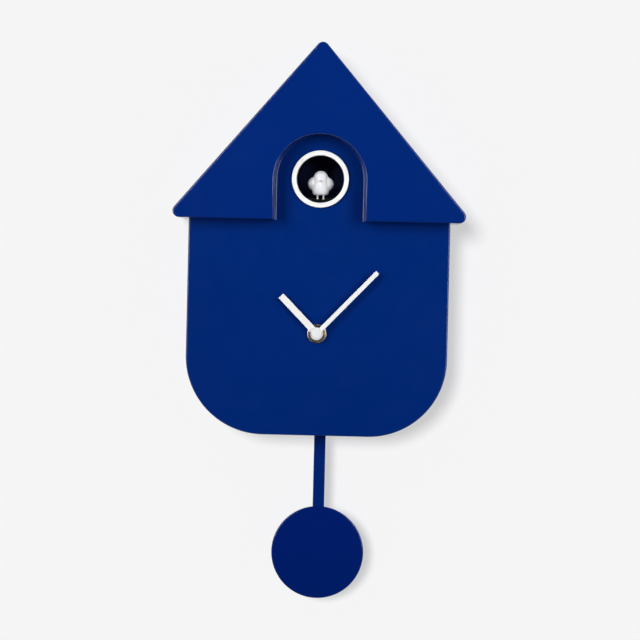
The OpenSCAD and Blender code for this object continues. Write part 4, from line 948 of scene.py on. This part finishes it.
weld(leaf, along_x(HINGE_Z, DOOR_T / 2 - 0.005 * MM, bay.x - DOOR_W / 2, bay.x + DOOR_W / 2),
     along_x(HINGE_Z, 0.6 * MM, door_lo.x, door_hi.x, 24))
grip = Vector((bay.x, 0, door_hi.z - 7 * MM))
carve(leaf, sink(grip, *mm(16, 6, 2, 1), RIM_EASE))
for k in range(-2, 3):
    rib = patch(grip + Vector((2.6 * k * MM, 0, 0)), *mm(0.8, 4, 0.39))
    weld(leaf, plate("rib", rib, *mm(-0.5, -1.2, 0.05), "door_blue", 0.25 * MM, 2))
finished(leaf, "battery_door")

# %% Screws made of nodes
def make_screw_set():
    """One screw on every point, each turned by its own amount, as tightened screws are."""
    tree, given, gives = geometry_tree("screw_set", [
        ("Object", "Pattern"), ("Int", "Seed", 5), ("Material", "Material")])
    turn = node(tree, "FunctionNodeRandomValue", [("Seed", given["Seed"])], data_type="FLOAT")
    turn.inputs[2].default_value, turn.inputs[3].default_value = 0.0, pi
    facing = node(tree, "CombineXYZ", [("Y", turn.outputs[1])])
    pattern = node(tree, "GeometryNodeObjectInfo", [("Object", given["Pattern"])])
    screws = node(tree, "GeometryNodeInstanceOnPoints", [
        ("Points", given["Geometry"]), ("Instance", pattern.outputs["Geometry"]),
        ("Rotation", facing.outputs[0])])
    return last_steps(tree, screws.outputs[0], gives, given["Material"])


screw_set = make_screw_set()
SCREW_TURN = radians(40)


def screw_pattern(r, length, head_r, head_t, pitch):
    """A self-tapping screw with a low domed head and a cross recess, its seat at the origin."""
    core = 0.76 * r
    rows = [(0.0, -length), (0.35 * r, -length + 0.3 * MM), (core, -length + MM)]
    along = -length + 1.2 * MM
    while along < -1.2 * MM:
        rows += [(core, along), (r, along + 0.42 * pitch), (r, along + 0.52 * pitch),
                 (core, along + 0.9 * pitch)]
        along += pitch
    dome = 0.45 * head_t
    rows += [(core, -0.6 * MM), (r * 0.98, -0.25 * MM), (r * 0.98, 0.0), (head_r - 0.15 * MM, 0.0),
             (head_r, 0.15 * MM), *arc_points(head_r - dome, 0.55 * head_t, dome, 0, 75, 5),
             (0.5 * head_r, head_t * 0.995), (0.0, head_t)]
    ob = turned("screw_pattern", rows, (0, 0, 0), "screw_steel", 40, BACKWARD)
    arm, half = 0.58 * head_r, 0.13 * head_r
    for x, z in ((arm, half), (half, arm)):
        carve(ob, block((-x, dome, -z), (x, 2 * head_t, z)))
    return settle(ob, SCREW_TURN)


def screw_pieces(node_name, seat, places, pattern, seed):
    """The screws of one node, on their seats."""
    ob = new_piece(node_name[:-1] + "_set", [(x, seat, z) for x, z in places], [], "screw_steel")
    run_tree(ob, screw_set, Pattern=pattern, Seed=seed, Material=finish["screw_steel"])
    finished(ob, node_name, SCREW_TURN)


big = screw_pattern(*mm(1.5, 10, 2.8, 2.0, 0.9))
screw_pieces("case_screws", WELL_FLOOR - WELL_DEPTH, CASE_SCREWS, big, 3)
screw_pieces("roof_screws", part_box("roof_screws")[1].y - 2.0 * MM, ROOF_SCREWS, big, 8)
bpy.data.objects.remove(big)

# %% [markdown]
# ## Camera, wall and light
# The portrait is taken straight on with a long lens, from a hair to the right, and the frame leans a
# little over one degree. The wall is the backdrop: a pale plane just behind the clock that is clear
# from behind, so the back can be looked at. A pale floor lies far below. Only the camera meets it,
# because the gable's lower edge would otherwise carry a pale line. One far lamp washes the wall and
# gives the narrow shadow to the right of the case, and two broad soft boxes light the clock.

# %% Camera
VIEW_WIDTH, LENS_DISTANCE = 0.467051, 2.15     # metres: across the view at the dial, lens to dial
SENSOR = 36.0                                  # millimetres, as Blender counts lenses
AIM = Vector((0.00208, dial_y, -0.1434))
azimuth, elevation, lean = radians(1.06), radians(1.1), radians(1.352)
camera_data = bpy.data.cameras.new("camera")
camera_data.sensor_width = SENSOR
camera_data.lens = SENSOR * LENS_DISTANCE / VIEW_WIDTH
camera_data.clip_start, camera_data.clip_end = 0.05, 50.0
camera = add_object("camera", camera_data)
back = Vector((sin(azimuth) * cos(elevation), -cos(azimuth) * cos(elevation), sin(elevation)))
camera.matrix_world = (Matrix.Translation(AIM + back * LENS_DISTANCE)
                       @ (-back).to_track_quat("-Z", "Y").to_matrix().to_4x4()
                       @ Matrix.Rotation(lean, 4, "Z"))
bpy.context.scene.camera = camera
print("lens", round(camera_data.lens, 1), "mm")

# %% Wall and floor
def pale_plane(name, grey, corners, unlit, gives_light=True):
    """A backdrop that only shows from its front; unlit is how much of its colour needs no lamp."""
    mesh = bpy.data.meshes.new(name)
    mesh.from_pydata(corners, [], [(0, 1, 2, 3)])
    mat = bpy.data.materials.new(name)
    mat.use_nodes = True
    tree = mat.node_tree
    tree.nodes.clear()
    paint = node(tree, "BsdfDiffuse", Color=(grey, grey, grey, 1))
    plain = node(tree, "Emission", Color=(grey, grey, grey, 1), Strength=1.0)
    clear = node(tree, "BsdfTransparent")
    rays = node(tree, "LightPath").outputs
    seen = maths(tree, "MAXIMUM", rays["Is Camera Ray"],
                 maths(tree, "MAXIMUM", rays["Is Glossy Ray"], rays["Is Transmission Ray"]))
    pale = node(tree, "MixShader", [(0, maths(tree, "MULTIPLY", seen, unlit)), (1, paint.outputs[0]),
                                    (2, plain.outputs[0])])
    share = maths(tree, "MAXIMUM", node(tree, "NewGeometry").outputs["Backfacing"],
                  rays["Is Shadow Ray"])
    if not gives_light:
        share = maths(tree, "MAXIMUM", share, maths(tree, "SUBTRACT", 1.0, rays["Is Camera Ray"]))
    mix = node(tree, "MixShader", [(0, share), (1, pale.outputs[0]), (2, clear.outputs[0])])
    tree.links.new(mix.outputs[0], node(tree, "OutputMaterial").inputs["Surface"])
    mesh.materials.append(mat)
    ob = add_object(name, mesh)
    return ob


WALL_GAP, WALL_HALF, WALL_TOP, FLOOR_Z, FLOOR_HALF = 0.0006, 4, 3, -1.6, 6
upright = at_depth(rectangle(-WALL_HALF, FLOOR_Z, WALL_HALF, WALL_TOP), WALL_GAP)
wall = pale_plane("wall", 0.905, upright, 0.62)
ground = [(x, y, FLOOR_Z) for x, y in rectangle(-FLOOR_HALF, -FLOOR_HALF, FLOOR_HALF, FLOOR_HALF)]
floor = pale_plane("floor", 0.86, ground, 0.9, gives_light=False)
print("backdrop:", wall.name, floor.name)

# %% The room's light
AMBIENT, BACKGROUND, ROOM, FLAG, DIM_SHARE = 0.1, 0.86, 0.5, 0.02, 0.08
world = bpy.data.worlds.new("room")
bpy.context.scene.world = world
world.use_nodes = True
tree = world.node_tree
tree.nodes.clear()
rays = node(tree, "LightPath").outputs
mirrored = maths(tree, "MAXIMUM", rays["Is Glossy Ray"], rays["Is Transmission Ray"])
heading = node(tree, "TexCoord").outputs["Generated"]
ahead = node(tree, "VectorMath", [(0, heading)], operation="DOT_PRODUCT")
ahead.inputs[1].default_value = (0, -1, 0)
flag = spread(tree, ahead.outputs["Value"], 0.62, 0.95, ROOM, FLAG)
aside = maths(tree, "ABSOLUTE", node(tree, "SeparateXYZ", [(0, heading)]).outputs["X"])
room = maths(tree, "MULTIPLY", flag, spread(tree, aside, 0.2, 0.65, DIM_SHARE, 1.0))
level = node(tree, "Mix", [(0, mirrored), (3, room)], data_type="FLOAT")
level.inputs[2].default_value = AMBIENT
shown = node(tree, "Mix", [(0, rays["Is Camera Ray"]), (2, level.outputs[0])], data_type="FLOAT")
shown.inputs[3].default_value = BACKGROUND
sky = node(tree, "Background", [("Strength", shown.outputs[0])], Color=(1, 1, 1, 1))
tree.links.new(sky.outputs[0], node(tree, "OutputWorld").inputs["Surface"])
print("world:", world.name)


# %% Lamps
def lamp(name, kind, power, place, aim, only=None, **form):
    """A lamp at a place, turned towards a point; only is the collection that it lights."""
    data = bpy.data.lights.new(name, kind)
    data.energy = power
    for key, value in form.items():
        setattr(data, key, value)
    ob = add_object(name, data)
    ob.location = place
    ob.rotation_mode = "QUATERNION"
    ob.rotation_quaternion = (Vector(aim) - Vector(place)).to_track_quat("-Z", "Y")
    if only:
        ob.light_linking.receiver_collection = only


backdrop = bpy.data.collections.new("backdrop_only")
clock_only = bpy.data.collections.new("clock_only")
for ob in (wall, floor):
    backdrop.objects.link(ob)
    clock_only.objects.link(ob)
for item in clock_only.collection_objects:
    item.light_linking.link_state = "EXCLUDE"
ORIGIN, CLOCK_HEART = (0, 0, 0), (0, 0, 0.06)
SOFT_BOX = dict(shape="ELLIPSE", size=0.6, size_y=0.95, spread=radians(80))
lamp("wall_wash", "SUN", 2.98, ORIGIN, (0.16, 1.0, -0.13), backdrop, angle=radians(12))
lamp("left_box", "AREA", 2.95, (-0.7, -1.24, 0.2), CLOCK_HEART, clock_only, **SOFT_BOX)
lamp("right_box", "AREA", 2.55, (0.7, -1.24, 0.1), CLOCK_HEART, clock_only, **SOFT_BOX)
lamp("rear", "SUN", 1.6, ORIGIN, (-0.3, -1.0, -0.5), angle=radians(50))
bpy.context.scene.view_settings.view_transform = "Standard"
print("lamps:", len(bpy.data.lights))
